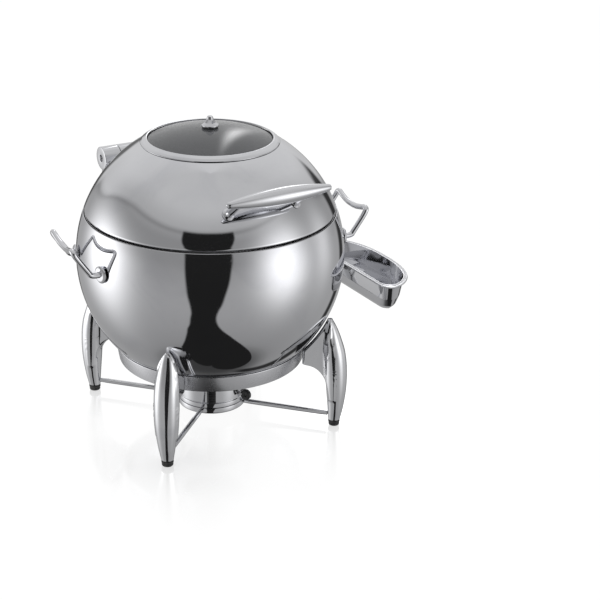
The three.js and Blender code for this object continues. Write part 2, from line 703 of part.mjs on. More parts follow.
function glass() {
  const hole = VENT_STEM_R + RUN;
  const line = (drop, from, to) => Array.from({ length: 5 }, (_, i) => {
    const out = from + ((to - from) * i) / 4;
    return [out, PANE_TOP - PANE_R + Math.sqrt((PANE_R - drop) ** 2 - out ** 2)];
  });
  return ringTurned([...line(0, PANE_EDGE, hole), ...line(GLASS_T, hole, PANE_EDGE)]);
}

function vent() {
  const group = new THREE.Group();
  const base = PANE_TOP + GAP;
  const washer = ringTurned([[VENT_STEM_R + GAP, base], [VENT_R - 1, base], [VENT_R - 1.6, base + WASHER_T],
    [VENT_STEM_R + GAP, base + WASHER_T]], 24);
  group.add(piece('vent_washer', washer, RUBBER));
  const foot = base + WASHER_T + GAP;
  const bell = turned([
    [0, base - GLASS_T - 6],
    [VENT_STEM_R, base - GLASS_T - 6],
    [VENT_STEM_R, foot],
    [VENT_R, foot],
    [VENT_R - 0.4, foot + 1.6],
    [VENT_R * 0.62, foot + VENT_H * 0.36],
    [VENT_R * 0.34, foot + VENT_H * 0.7],
    [VENT_R * 0.2, foot + VENT_H],
    [0, foot + VENT_H],
  ], 24);
  const steam = new THREE.CylinderGeometry(VENT_HOLE_R, VENT_HOLE_R, 3 * VENT_R, 12);
  steam.translate(0, 0, foot + VENT_H * 0.45);
  group.add(piece('vent_knob', cut(bell, steam), MIRROR));
  const nutTop = base - GLASS_T - 1.2;
  const nutIn = (VENT_STEM_R + GAP) / Math.cos(Math.PI / 6);
  const nut = ringTurned([[nutIn, nutTop], [6.5, nutTop], [6.5, nutTop - 3], [nutIn, nutTop - 3]], 6);
  group.add(piece('vent_nut', nut, SATIN));
  return group;
}

// grip and posts stand out from the lid: local z runs outwards from the ball centre
function lidHandle() {
  const group = new THREE.Group();
  group.position.set(0, 0, BALL_Z);
  group.rotation.x = rad(90 - LID_GRIP_LIFT);
  const off = BALL_R + LID_GRIP_OFF;
  const grip = (grow) => {
    const steps = 12;
    const profile = [[0, -LID_GRIP_LEN / 2]];
    for (let i = 0; i <= steps; i++) {
      const t = -1 + (2 * i) / steps;
      const swell = Math.max(Math.cos((t * Math.PI) / 2), 0) ** 0.85;
      profile.push([LID_GRIP_END_R + (LID_GRIP_R - LID_GRIP_END_R) * swell + grow, (t * LID_GRIP_LEN) / 2]);
    }
    profile.push([0, LID_GRIP_LEN / 2]);
    return turned(profile, 16).rotateY(Math.PI / 2).translate(LID_GRIP_ASIDE, 0, off);
  };
  group.add(piece('lid_handle_grip', grip(0), MIRROR));
  const ball = new THREE.SphereGeometry(BALL_R + GAP + 0.6, BALL_SIDES, BALL_SIDES / 2);
  for (const [side, s] of [['left', -1], ['right', 1]]) {
    const low = BALL_R - 24;
    const post = new THREE.CylinderGeometry(LID_POST_R, LID_POST_R, off - low, 14).rotateX(Math.PI / 2);
    post.translate(0, 0, (off + low) / 2);
    const foot = new THREE.CylinderGeometry(LID_FOOT_R, LID_FOOT_R, 24, 18).rotateX(Math.PI / 2);
    foot.translate(0, 0, ballHeightAt(LID_POST_SPAN / 2) - 8);
    const both = join(post, foot).translate((s * LID_POST_SPAN) / 2, 0, 0);
    group.add(piece(`lid_handle_post_${side}`, cut(both, ball, grip(GAP)), MIRROR));
  }
  return group;
}

// ---- screws ----
function screwHead(name, x, y, z, turn) {
  const head = turned([[0, 0], [SCREW_R, 0], [SCREW_R * 0.8, SCREW_H], [0, SCREW_H]], 12);
  const mesh = piece(name, head, SATIN);
  turn(mesh);
  mesh.position.set(x, y, z);
  return mesh;
}

function screws() {
  const group = new THREE.Group();
  const back = HINGE_OUT + 5 + GAP;
  for (const [side, s] of [['left', -1], ['right', 1]]) {
    const x = s * (HINGE_LEN / 2 - KNUCKLE_LEN / 2);
    const z = BALL_Z + BOWL_EDGE - BRACKET_DROP + 9;
    group.add(screwHead(`bracket_screw_${side}`, x, back, z, (m) => { m.rotation.x = -Math.PI / 2; }));
    const face = DISH_IN - 4 + 1.5 + GAP;
    const y = s * 10 - DISH_BRACKET_AHEAD;
    const low = BALL_Z - DISH_DROP - 21;
    const place = s < 0 ? 'front' : 'rear';
    group.add(screwHead(`dish_screw_${place}`, face, y, low, (m) => { m.rotation.y = Math.PI / 2; }));
  }
  return group;
}

// ---- assembly, set with the middle of its footprint at the origin ----
const kettle = new THREE.Group();
kettle.add(
  stand(),
  burner(),
  damper(),
  piece('lower_bowl', bowl(), MIRROR),
  piece('bowl_rim', rim(), SATIN),
  piece('soup_insert', pot(), SATIN),
  sideHandle('left'),
  sideHandle('right'),
  piece('drip_dish', dish(), MIRROR),
  piece('dish_bracket', dishBracket(), SATIN),
  hingeOnBowl(),
  hingeOnLid(),
  piece('lid_shell', lidShell(), MIRROR),
  piece('window_ring', windowRing(), MIRROR),
  piece('window_gasket', gasket(), RUBBER),
  piece('window_glass', glass(), GLASS),
  vent(),
  lidHandle(),
  screws(),
);
const box = new THREE.Box3().setFromObject(kettle, true);
const middle = box.getCenter(new THREE.Vector3());
kettle.position.set(-middle.x, -middle.y, -box.min.z);

const root = new THREE.Group();
root.add(kettle);
root.updateMatrixWorld(true);

export default root;
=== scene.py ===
"""Soup kettle: the finished surfaces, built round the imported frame. Metres, +Z up.

Laid out as an add-on: one operator for each group of pieces, one for the studio, and a panel.
"""

import math

import bmesh
import bpy
from bpy.props import FloatProperty, FloatVectorProperty, PointerProperty
from bpy.types import Operator, Panel, PropertyGroup
from mathutils import Matrix, Quaternion, Vector


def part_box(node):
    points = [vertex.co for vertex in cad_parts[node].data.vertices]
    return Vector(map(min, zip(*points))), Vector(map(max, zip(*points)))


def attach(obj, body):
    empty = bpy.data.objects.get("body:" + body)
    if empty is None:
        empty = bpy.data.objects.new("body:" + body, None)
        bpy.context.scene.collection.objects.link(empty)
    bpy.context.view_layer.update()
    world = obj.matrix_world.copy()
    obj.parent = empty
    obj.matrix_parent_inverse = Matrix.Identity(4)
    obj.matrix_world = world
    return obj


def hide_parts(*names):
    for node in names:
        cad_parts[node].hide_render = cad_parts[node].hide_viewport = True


bl_info = {
    "name": "Soup Kettle",
    "version": (1, 0, 0),
    "blender": (4, 5, 0),
    "location": "View3D > Sidebar > Kettle",
    "description": "Builds a ball-shaped buffet soup kettle on its stand",
    "category": "Add Mesh",
}

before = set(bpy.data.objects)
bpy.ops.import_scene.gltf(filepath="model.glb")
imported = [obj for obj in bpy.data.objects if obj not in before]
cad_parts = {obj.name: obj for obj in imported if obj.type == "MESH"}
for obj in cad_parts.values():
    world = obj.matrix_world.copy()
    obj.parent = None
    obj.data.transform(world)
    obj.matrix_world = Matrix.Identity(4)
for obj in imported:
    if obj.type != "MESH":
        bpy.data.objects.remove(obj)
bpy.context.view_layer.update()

MM = 0.001
TAU = 2 * math.pi
FINE = 192  # facets round the large turned pieces
MEDIUM = 96
SMALL = 48


# ---- where the frame puts things ----
def middle(node):
    low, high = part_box(node)
    return (low + high) / 2


def size(node):
    low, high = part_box(node)
    return high - low


def round_size(node):
    """Lowest and highest point and the radius of a turned node."""
    low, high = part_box(node)
    return low.z, high.z, (high.x - low.x) / 2


def ball_centre():
    """The bowl is part of a ball: its widest radius and its top edge give the centre."""
    low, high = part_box("lower_bowl")
    axis = (low + high) / 2
    radius = (high.x - low.x) / 2
    top = [v.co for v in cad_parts["lower_bowl"].data.vertices if v.co.z > high.z - 1e-5]
    edge = max(math.hypot(p.x - axis.x, p.y - axis.y) for p in top)
    return Vector((axis.x, axis.y, high.z - math.sqrt(radius ** 2 - edge ** 2))), radius


CENTRE, BALL_R = ball_centre()
AX, AY, CZ = CENTRE


# ---- mesh helpers ----
def finish_mesh(name, bm, smooth_angle=40):
    bmesh.ops.remove_doubles(bm, verts=bm.verts, dist=1e-6)
    bmesh.ops.recalc_face_normals(bm, faces=bm.faces)
    mesh = bpy.data.meshes.new(name)
    bm.to_mesh(mesh)
    bm.free()
    mesh.shade_smooth()
    mesh.set_sharp_from_angle(angle=math.radians(smooth_angle))
    obj = bpy.data.objects.new(name, mesh)
    bpy.context.scene.collection.objects.link(obj)
    return obj


def arc(centre, radius, start, end, steps):
    """Points of an arc in a profile, angles in degrees."""
    angles = [math.radians(start + (end - start) * i / steps) for i in range(steps + 1)]
    return [(centre[0] + radius * math.cos(a), centre[1] + radius * math.sin(a)) for a in angles]


def rounded(points, radius, closed=True, steps=4):
    """The polyline with each corner cut back by an arc. A point may carry its own radius."""
    out = []
    count = len(points)
    for i, point in enumerate(points):
        here = Vector(point[:2])
        r = point[2] if len(point) > 2 else radius
        if r <= 0 or (not closed and i in (0, count - 1)):
            out.append(tuple(here))
            continue
        before = Vector(points[i - 1][:2]) - here
        after = Vector(points[(i + 1) % count][:2]) - here
        angle = before.angle(after, math.pi)
        if angle > math.radians(172):
            out.append(tuple(here))
            continue
        reach = min(r / math.tan(angle / 2), before.length * 0.49, after.length * 0.49)
        a = here + before.normalized() * reach
        b = here + after.normalized() * reach
        for k in range(steps + 1):
            t = k / steps
            out.append(tuple(a.lerp(here, t).lerp(here.lerp(b, t), t)))
    return out


def lathe(name, profile, segments=FINE, closed=True, smooth_angle=40):
    """Turns a profile of (radius, height) round the ball's axis. Radius 0 is the axis."""
    bm = bmesh.new()
    rings = []
    for r, z in profile:
        if r < 1e-7:
            rings.append([bm.verts.new((0, 0, z))])
            continue
        angles = [TAU * k / segments for k in range(segments)]
        rings.append([bm.verts.new((r * math.cos(a), r * math.sin(a), z)) for a in angles])
    pairs = list(zip(rings, rings[1:]))
    if closed and len(rings[0]) > 1 and len(rings[-1]) > 1:
        pairs.append((rings[-1], rings[0]))
    for a, b in pairs:
        for k in range(segments):
            n = (k + 1) % segments
            quad = [a[k % len(a)], a[n % len(a)], b[n % len(b)], b[k % len(b)]]
            corners = list(dict.fromkeys(quad))
            if len(corners) > 2:
                bm.faces.new(corners)
    return finish_mesh(name, bm, smooth_angle)


def turned(name, corners, radius=0.001, segments=FINE, steps=4, smooth_angle=40):
    """A turned piece from the corners of its section. A section that starts on the axis stays open."""
    closed = corners[0][0] > 0
    return lathe(name, rounded(corners, radius, closed, steps), segments, closed, smooth_angle)


def round_bar(radius, reach, segments=SMALL):
    """A plain round bar up the axis, to cut with."""
    return lathe("cutter", [(0, -reach), (radius, -reach), (radius, reach), (0, reach)], segments, False)


def put(obj, location=(0, 0, 0), turn=None):
    """Bakes a place into the mesh, so the object sits at the frame's origin."""
    matrix = Matrix.Translation(Vector(location))
    if turn is not None:
        matrix = matrix @ turn.to_matrix().to_4x4()
    obj.data.transform(matrix)
    return obj


def skin(name, rings, cap=True, smooth_angle=40):
    """A skin over equal rings of points, with its ends closed."""
    bm = bmesh.new()
    rows = [[bm.verts.new(p) for p in ring] for ring in rings]
    count = len(rows[0])
    for a, b in zip(rows, rows[1:]):
        for k in range(count):
            n = (k + 1) % count
            bm.faces.new((a[k], a[n], b[n], b[k]))
    if cap:
        for row in (rows[0], rows[-1]):
            hub = bm.verts.new(sum((v.co for v in row), Vector()) / count)
            for k in range(count):
                bm.faces.new((row[k], row[(k + 1) % count], hub))
    return finish_mesh(name, bm, smooth_angle)


def spline(points, steps):
    """Centripetal Catmull-Rom through the points, evenly divided."""
    points = [Vector(p) for p in points]
    padded = [2 * points[0] - points[1], *points, 2 * points[-1] - points[-2]]
    dense = []
    for p0, p1, p2, p3 in zip(padded, padded[1:], padded[2:], padded[3:]):
        t1 = math.sqrt((p1 - p0).length)
        t2 = t1 + math.sqrt((p2 - p1).length)
        t3 = t2 + math.sqrt((p3 - p2).length)
        for k in range(24):
            t = t1 + (t2 - t1) * k / 24
            a1 = p0.lerp(p1, t / t1)
            a2 = p1.lerp(p2, (t - t1) / (t2 - t1))
            a3 = p2.lerp(p3, (t - t2) / (t3 - t2))
            b1 = a1.lerp(a2, t / t2)
            b2 = a2.lerp(a3, (t - t1) / (t3 - t1))
            dense.append(b1.lerp(b2, (t - t1) / (t2 - t1)))
    dense.append(points[-1])
    lengths = [0.0]
    for a, b in zip(dense, dense[1:]):
        lengths.append(lengths[-1] + (b - a).length)
    out, j = [], 0
    for i in range(steps + 1):
        goal = lengths[-1] * i / steps
        while j < len(lengths) - 2 and lengths[j + 1] < goal:
            j += 1
        span = max(lengths[j + 1] - lengths[j], 1e-12)
        out.append(dense[j].lerp(dense[j + 1], (goal - lengths[j]) / span))
    return out


def tube(name, points, radius, sides=20, round_end=0.0):
    """A rod along the points. Its frames turn as little as they can."""
    tangents = [(b - a).normalized() for a, b in zip(points, points[1:])]
    tangents = [tangents[0]] + [(a + b).normalized() for a, b in zip(tangents, tangents[1:])] + [tangents[-1]]
    up = tangents[0].orthogonal().normalized()
    rings = []
    for i, point in enumerate(points):
        if i:
            up = (tangents[i - 1].rotation_difference(tangents[i]) @ up).normalized()
        side = tangents[i].cross(up)
        r = radius(i / (len(points) - 1)) if callable(radius) else radius
        rings.append([point + r * (math.cos(a) * up + math.sin(a) * side)
                      for a in (TAU * k / sides for k in range(sides))])
    return skin(name, rings)


# ---- shader helpers ----
class Tree:
    """A few short words for building a node tree."""

    def __init__(self, tree):
        self.tree = tree

    def add(self, kind, **values):
        node = self.tree.nodes.new(kind)
        for key, value in values.items():
            setattr(node, key, value)
        return node

    def join(self, output, target):
        self.tree.links.new(output, target)

    def fill(self, socket, value):
        if isinstance(value, bpy.types.NodeSocket):
            self.join(value, socket)
        else:
            socket.default_value = value

    def math(self, operation, a, b=0.0, clamp=False):
        node = self.add("ShaderNodeMath", operation=operation, use_clamp=clamp)
        self.fill(node.inputs[0], a)
        self.fill(node.inputs[1], b)
        return node.outputs[0]

    def times(self, a, b):
        return self.math("MULTIPLY", a, b)

    def plus(self, a, b, clamp=False):
        return self.math("ADD", a, b, clamp)

    def minus(self, a, b):
        return self.math("SUBTRACT", a, b)

    def over(self, a, b):
        return self.math("DIVIDE", a, b)

    def rest(self, a):
        """What is left of one."""
        return self.minus(1.0, a)

    def inside(self, value, low, high, soft):
        """One between two levels, none outside them."""
        above = self.ramp(value, low - soft, low + soft)
        return self.times(above, self.rest(self.ramp(value, high - soft, high + soft)))

    def noise(self, place, scale, detail=2.0, distortion=0.0):
        node = self.add("ShaderNodeTexNoise")
        labels = ("Vector", "Scale", "Detail", "Distortion")
        for label, value in zip(labels, (place, scale, detail, distortion)):
            self.fill(node.inputs[label], value)
        return node.outputs["Fac"]

    def blend(self, share, a, b, blend_type="MIX"):
        """Two colours mixed."""
        node = self.add("ShaderNodeMix", data_type="RGBA", blend_type=blend_type)
        for k, value in ((0, share), (6, a), (7, b)):
            self.fill(node.inputs[k], value)
        return node.outputs[2]

    def between(self, share, a, b):
        """Two levels mixed."""
        node = self.add("ShaderNodeMix", data_type="FLOAT")
        for k, value in ((0, share), (2, a), (3, b)):
            self.fill(node.inputs[k], value)
        return node.outputs[0]

    def ramp(self, value, from_low, from_high, to_low=0.0, to_high=1.0):
        """Smooth step between two levels."""
        node = self.add("ShaderNodeMapRange", interpolation_type="SMOOTHSTEP")
        for socket, v in zip(node.inputs, (value, from_low, from_high, to_low, to_high)):
            self.fill(socket, v)
        return node.outputs[0]

    def curve(self, value, low, high, points):
        """A smooth line through (x, y) points, x and y both in their own units."""
        tops = max(y for _, y in points)
        scaled = self.math("DIVIDE", self.math("SUBTRACT", value, low), high - low)
        node = self.add("ShaderNodeFloatCurve")
        line = node.mapping.curves[0]
        while len(line.points) < len(points):
            line.points.new(0.5, 0.5)
        for point, (x, y) in zip(line.points, sorted(points)):
            point.location = ((x - low) / (high - low), y / tops)
            point.handle_type = "AUTO_CLAMPED"
        node.mapping.update()
        self.join(scaled, node.inputs["Value"])
        return self.math("MULTIPLY", node.outputs[0], tops)


def group_tree(name, inputs, outputs):
    """An empty node group with named sockets: (name, kind, default)."""
    group = bpy.data.node_groups.new(name, "ShaderNodeTree")
    for label, kind, default in inputs:
        socket = group.interface.new_socket(label, in_out="INPUT", socket_type=kind)
        if default is not None:
            socket.default_value = default
    for label, kind in outputs:
        group.interface.new_socket(label, in_out="OUTPUT", socket_type=kind)
    tree = Tree(group)
    return group, tree, tree.add("NodeGroupInput"), tree.add("NodeGroupOutput")


def polish_marks(name):
    """Hand polishing: soft smears, hair scratches and a few water spots."""
    inputs = [("Roughness", "NodeSocketFloat", 0.05), ("Smears", "NodeSocketFloat", 0.03),
              ("Scratches", "NodeSocketFloat", 0.4), ("Scale", "NodeSocketFloat", 1.0)]
    outputs = [("Roughness", "NodeSocketFloat"), ("Height", "NodeSocketFloat"), ("Tint", "NodeSocketColor")]
    group, t, start, end = group_tree(name, inputs, outputs)
    place = t.add("ShaderNodeTexCoord").outputs["Object"]
    sized = t.add("ShaderNodeVectorMath", operation="SCALE")
    t.join(place, sized.inputs[0])
    t.join(start.outputs["Scale"], sized.inputs["Scale"])

    smear = t.noise(sized.outputs[0], 14, 6, 0.8)
    cloudy = t.ramp(smear, 0.45, 0.75)

    streaks = []
    for turn in ((0.3, 0.2, 0.9), (1.2, 0.7, 0.1)):
        lines = t.add("ShaderNodeMapping")
        lines.inputs["Rotation"].default_value = turn
        lines.inputs["Scale"].default_value = (35, 900, 900)
        t.join(sized.outputs[0], lines.inputs["Vector"])
        streaks.append(t.ramp(t.noise(lines.outputs[0], 1), 0.62, 0.78))
    hairs = t.math("MAXIMUM", *streaks)

    spots = t.add("ShaderNodeTexVoronoi", feature="F1")
    spots.inputs["Scale"].default_value = 22
    t.join(sized.outputs[0], spots.inputs["Vector"])
    ring = t.rest(t.ramp(spots.outputs["Distance"], 0.035, 0.06))
    rare = t.math("GREATER_THAN", smear, 0.6)
    spotted = t.times(ring, rare)

    rough = t.times(cloudy, start.outputs["Smears"])
    rough = t.plus(rough, start.outputs["Roughness"])
    rough = t.plus(rough, t.times(t.times(hairs, start.outputs["Scratches"]), 0.05))
    rough = t.plus(rough, t.times(spotted, 0.05), clamp=True)
    t.join(rough, end.inputs["Roughness"])
    height = t.times(t.minus(0.0, hairs), start.outputs["Scratches"])
    t.join(height, end.inputs["Height"])
    t.join(t.blend(cloudy, (1, 1, 1, 1), (0.93, 0.93, 0.94, 1)), end.inputs["Tint"])
    return group


def spun_lines(name):
    """Fine turning lines round the upright axis, as on a spun or brushed pot."""
    inputs = [("Roughness", "NodeSocketFloat", 0.3), ("Depth", "NodeSocketFloat", 0.15),
              ("Lines per metre", "NodeSocketFloat", 900.0)]
    outputs = [("Roughness", "NodeSocketFloat"), ("Height", "NodeSocketFloat")]
    group, t, start, end = group_tree(name, inputs, outputs)
    place = t.add("ShaderNodeTexCoord").outputs["Object"]
    parts = t.add("ShaderNodeSeparateXYZ")
    t.join(place, parts.inputs[0])
    across = t.minus(parts.outputs[0], AX)
    along = t.minus(parts.outputs[1], AY)
    square = t.plus(t.times(across, across), t.times(along, along))
    radius = t.math("SQRT", square)
    line = t.add("ShaderNodeCombineXYZ")
    t.join(t.times(radius, start.outputs["Lines per metre"]), line.inputs[0])
    t.join(t.times(parts.outputs[2], start.outputs["Lines per metre"]), line.inputs[1])
    t.join(t.times(t.math("ARCTAN2", along, across), 2.0), line.inputs[2])
    noise = t.noise(line.outputs[0], 1, 3)
    spread = t.minus(noise, 0.5)
    rough = t.plus(t.times(spread, start.outputs["Depth"]), start.outputs["Roughness"], clamp=True)
    t.join(rough, end.inputs["Roughness"])
    t.join(noise, end.inputs["Height"])
    return group


def dust_and_wear(name):
    """Faint greyish dust and wear for matt black parts."""
    inputs = [("Amount", "NodeSocketFloat", 0.25), ("Grain", "NodeSocketFloat", 900.0)]
    outputs = [("Dust", "NodeSocketFloat"), ("Height", "NodeSocketFloat")]
    group, t, start, end = group_tree(name, inputs, outputs)
    place = t.add("ShaderNodeTexCoord").outputs["Object"]
    dust = t.times(t.ramp(t.noise(place, 55, 8), 0.48, 0.72), start.outputs["Amount"])
    t.join(dust, end.inputs["Dust"])
    t.join(t.noise(place, start.outputs["Grain"]), end.inputs["Height"])
    return group


def new_material(name):
    """The material, its tree and its shader."""
    material = bpy.data.materials.new(name)
    material.use_nodes = True
    tree = Tree(material.node_tree)
    return material, tree, material.node_tree.nodes["Principled BSDF"]


GROUPS = {"Polish marks": polish_marks, "Spun lines": spun_lines, "Dust and wear": dust_and_wear}


def use_group(t, name, **values):
    node = t.add("ShaderNodeGroup")
    node.node_tree = bpy.data.node_groups.get(name) or GROUPS[name](name)
    for key, value in values.items():
        node.inputs[key.replace("_", " ")].default_value = value
    return node


def raise_surface(t, shader, height, strength, distance):
    bump = t.add("ShaderNodeBump")
    bump.inputs["Strength"].default_value = strength
    bump.inputs["Distance"].default_value = distance
    t.join(height, bump.inputs["Height"])
    t.join(bump.outputs[0], shader.inputs["Normal"])


def tint_by(t, shader, marks, color):
    """The polish marks tint the colour and set the roughness."""
    t.join(t.blend(1, (*color, 1), marks.outputs["Tint"], "MULTIPLY"), shader.inputs["Base Color"])
    t.join(marks.outputs["Roughness"], shader.inputs["Roughness"])


def polished(name, color, roughness, smears, scratches, scale=1.0):
    """Mirror-polished metal."""
    material, t, shader = new_material(name)
    shader.inputs["Metallic"].default_value = 1.0
    marks = use_group(t, "Polish marks", Roughness=roughness, Smears=smears, Scratches=scratches, Scale=scale)
    tint_by(t, shader, marks, color)
    raise_surface(t, shader, marks.outputs["Height"], 0.02, 0.0004)
    return material


def spun(name, color, roughness, depth, lines):
    """Satin metal with turning lines."""
    material, t, shader = new_material(name)
    shader.inputs["Metallic"].default_value = 1.0
    shader.inputs["Base Color"].default_value = (*color, 1)
    brushed = use_group(t, "Spun lines", Roughness=roughness, Depth=depth, Lines_per_metre=lines)
    t.join(brushed.outputs["Roughness"], shader.inputs["Roughness"])
    raise_surface(t, shader, brushed.outputs["Height"], 0.12, 0.0002)
    return material


def dark_solid(name, color, dusty, roughness, amount, grain, relief):
    """Black rubber or phenolic with dust and a fine grain."""
    material, t, shader = new_material(name)
    dust = use_group(t, "Dust and wear", Amount=amount, Grain=grain)
    t.join(t.blend(dust.outputs["Dust"], (*color, 1), (*dusty, 1)), shader.inputs["Base Color"])
    t.join(t.ramp(dust.outputs["Dust"], 0.0, 1.0, roughness, 0.9), shader.inputs["Roughness"])
    raise_surface(t, shader, dust.outputs["Height"], relief, 0.0003)
    return material


def colors():
    return bpy.context.scene.kettle_colors


def sizes():
    return bpy.context.scene.kettle_sizes


def smoked(name, color):
    """Smoked glass: mostly dark and glossy, with a little seen through it."""
    material, t, shader = new_material(name)
    shader.inputs["IOR"].default_value = 1.5
    shader.inputs["Transmission Weight"].default_value = 0.75
    marks = use_group(t, "Polish marks", Roughness=0.02, Smears=0.03, Scratches=0.3, Scale=1.0)
    tint_by(t, shader, marks, color)
    raise_surface(t, shader, marks.outputs["Height"], 0.01, 0.0003)
    return material


# slot, maker, the material's name, its colour or the colour setting it takes, and the maker's other values
FINISHES = {
    "mirror": ("mirror_steel", polished, "Mirror steel", "steel", 0.035, 0.03, 0.5),
    "band": ("mirror_steel", polished, "Satin polished steel", "steel", 0.24, 0.05, 0.6),
    "grip": ("mirror_steel", polished, "Grip steel", "steel", 0.1, 0.05, 0.6),
    "casting": ("cast_steel", polished, "Polished casting", "casting", 0.07, 0.06, 0.6, 1.6),
    "satin": ("satin_steel", spun, "Spun satin steel", (0.62, 0.62, 0.63), 0.3, 0.18, 1400.0),
    "tin": ("tin_can", spun, "Tinplate", (0.55, 0.57, 0.6), 0.34, 0.12, 600.0),
    "rubber": ("black_rubber", dark_solid, "Black rubber", (0.012, 0.012, 0.013), (0.09, 0.09, 0.085),
               0.55, 0.35, 1400.0, 0.25),
    "phenolic": ("black_plastic", dark_solid, "Black phenolic", (0.01, 0.01, 0.011), (0.06, 0.06, 0.06),
                 0.28, 0.18, 700.0, 0.08),
    "glass": ("smoked_glass", smoked, "Smoked glass", "glass"),
}


def settle(obj, finish, body, node):
    """Gives a piece its finish and its body, and hides the frame node it stands for."""
    slot, make, name, color, *values = FINISHES[finish]
    if isinstance(color, str):
        color = tuple(getattr(colors(), color))
    obj.data.materials.clear()
    obj.data.materials.append(bpy.data.materials.get(name) or make(name, color, *values))
    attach(obj, body)
    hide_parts(node)
    return obj


def cut(obj, cutter):
    """Takes the cutter out of obj for good."""
    tool = obj.modifiers.new("Cut", "BOOLEAN")
    tool.operation = "DIFFERENCE"
    tool.solver = "EXACT"
    tool.object = cutter
    graph = bpy.context.evaluated_depsgraph_get()
    mesh = bpy.data.meshes.new_from_object(obj.evaluated_get(graph), depsgraph=graph)
    if not len(mesh.polygons):
        raise RuntimeError(f"nothing is left of {obj.name}")
    obj.modifiers.remove(tool)
    old = obj.data
    obj.data = mesh
    obj.data.shade_smooth()
    obj.data.set_sharp_from_angle(angle=math.radians(40))
    bpy.data.meshes.remove(old)
    bpy.data.objects.remove(cutter)
    return obj


def merge(name, objects):
    """One object from several."""
    bm = bmesh.new()
    for obj in objects:
        bm.from_mesh(obj.data)
        bpy.data.objects.remove(obj)
    return finish_mesh(name, bm)


def block(name, low, high, radius, steps=3, smooth_angle=40):
    """A box between two corners with every edge rounded."""
    bm = bmesh.new()
    bmesh.ops.create_cube(bm, size=1)
    low, high = Vector(low), Vector(high)
    for v in bm.verts:
        v.co = Vector(low[i] if v.co[i] < 0 else high[i] for i in range(3))
    bmesh.ops.bevel(bm, geom=bm.edges[:], offset=radius, segments=steps, profile=0.5, affect="EDGES")
    return finish_mesh(name, bm, smooth_angle)


def on_axis(obj, turn=None):
    """Moves a piece made round the origin to the ball's upright axis."""
    return put(obj, (AX, AY, 0), turn)


def polar(r, degrees, z):
    a = math.radians(degrees)
    return Vector((AX + r * math.cos(a), AY + r * math.sin(a), z))


def ball_arc(radius, low, high, steps):
    """Profile points on a ball round the centre, between two heights above it."""
    a, b = math.asin(low / radius), math.asin(high / radius)
    return [(radius * math.cos(t), CZ + radius * math.sin(t))
            for t in (a + (b - a) * i / steps for i in range(steps + 1))]


def about(axis, degrees):
    return Quaternion(axis, math.radians(degrees))


ALONG_X = about((0, 1, 0), 90)  # turns the upright axis of a turned piece to lie along X


def upright(degrees):
    """A turn round the upright axis."""
    return about((0, 0, 1), degrees)


def screw(name, radius, height):
    """A domed head with a cross recess, pointing up, its underside at 0."""
    head = turned(name, [(0, 0, 0), (radius, 0, 0.0002), (radius, height * 0.45, 0.0006),
                         (radius * 0.72, height, 0.0008), (0, height, 0)], segments=32)
    wide, deep = radius * 0.16, height * 0.5
    for x, y in ((radius * 0.55, wide), (wide, radius * 0.55)):
        cut(head, block("bar", (-x, -y, height - deep), (x, y, height + deep), 0.0001, 1))
    return head


# ---- what can be set ----
def length(name, description, default):
    return FloatProperty(name=name, description=description, default=default, unit="LENGTH")


def color(name, description, default):
    return FloatVectorProperty(name=name, description=description, subtype="COLOR", default=default)


class KettleSizes(PropertyGroup):
    sheet: length("Sheet", "Thickness of the bowl and the lid", 0.0015)
    lid_turn: length("Lid edge bend", "Radius where the lid and bowl edges turn in", 0.0016)
    web: length("Leg arm", "Thickness of the arm between leg and ring", 0.020)
    rod: length("Handle rod", "Radius of the carrying handles' rod", 0.004)
    dish_sheet: length("Dish sheet", "Thickness of the spoon dish", 0.0016)
    post: length("Grip post", "Radius of the lid grip's posts", 0.0045)


class KettleColors(PropertyGroup):
    steel: color("Steel", "Colour of the mirror steel", (0.738, 0.742, 0.765))
    casting: color("Castings", "Colour of the polished castings", (0.775, 0.78, 0.8))
    glass: color("Glass", "Tint of the smoked glass", (0.2, 0.205, 0.215))


class StudioSettings(PropertyGroup):
    fill: FloatProperty(name="Fill", description="Soft light all round", default=1.1)
    floor_glow: FloatProperty(name="Floor", description="Own light of the pale floor", default=1.02)
    floor_gloss: FloatProperty(name="Floor gloss", description="How much the floor mirrors", default=0.55)


def studio():
    return bpy.context.scene.kettle_studio


# ---- studio ----
VIEW_TURN = -27.8  # round the kettle, degrees; 0 looks along +Y
VIEW_RISE = 21.285
VIEW_AWAY = 2.1685
VIEW_PAN, VIEW_TILT, VIEW_ROLL = -3.627, -1.787, 1.0243
LENS = 91.32

# height above the horizon, then how far the wall's dark opening reaches to the left and to the right, degrees
DARK_EDGES = [(-90, 180, 180), (-80, 64, 150), (-76, 57, 138), (-72, 50, 110), (-70, 47, 84),
              (-66, 46, 56), (-62, 39, 40), (-58, 33, 29), (-54, 29, 21), (-50, 26, 14), (-46, 24, 9),
              (-42, 21, 6), (-36, 19, 4.5), (-30, 17.5, 6), (-24, 18, 9), (-16, 19.5, 11.5),
              (-6, 20.5, 14.5), (4, 21.5, 16.5), (16, 22.5, 18.5), (22, 23.5, 18), (27, 27, 21),
              (32, 28, 23), (40, 28, 23), (90, 28, 23)]
DARK_LEVEL = 0.0155  # what is left of the light in the opening
# degrees round from the camera: where the walls end and the ceiling begins
WALL_TOPS = [(0, 36), (40, 35.5), (70, 35), (90, 33), (100, 30), (110, 25.5), (120, 19), (130, 11),
             (140, 5), (150, 0), (160, -8), (180, -14)]
# height above the horizon: brightness of the walls
WALL_LEVELS = [(-90, 0.05), (-80, 0.055), (-75, 0.08), (-70, 0.14), (-65, 0.24), (-60, 0.31),
               (-50, 0.345), (-40, 0.375), (-20, 0.405), (0, 0.36), (15, 0.31), (25, 0.31), (34, 0.36),
               (90, 0.36)]
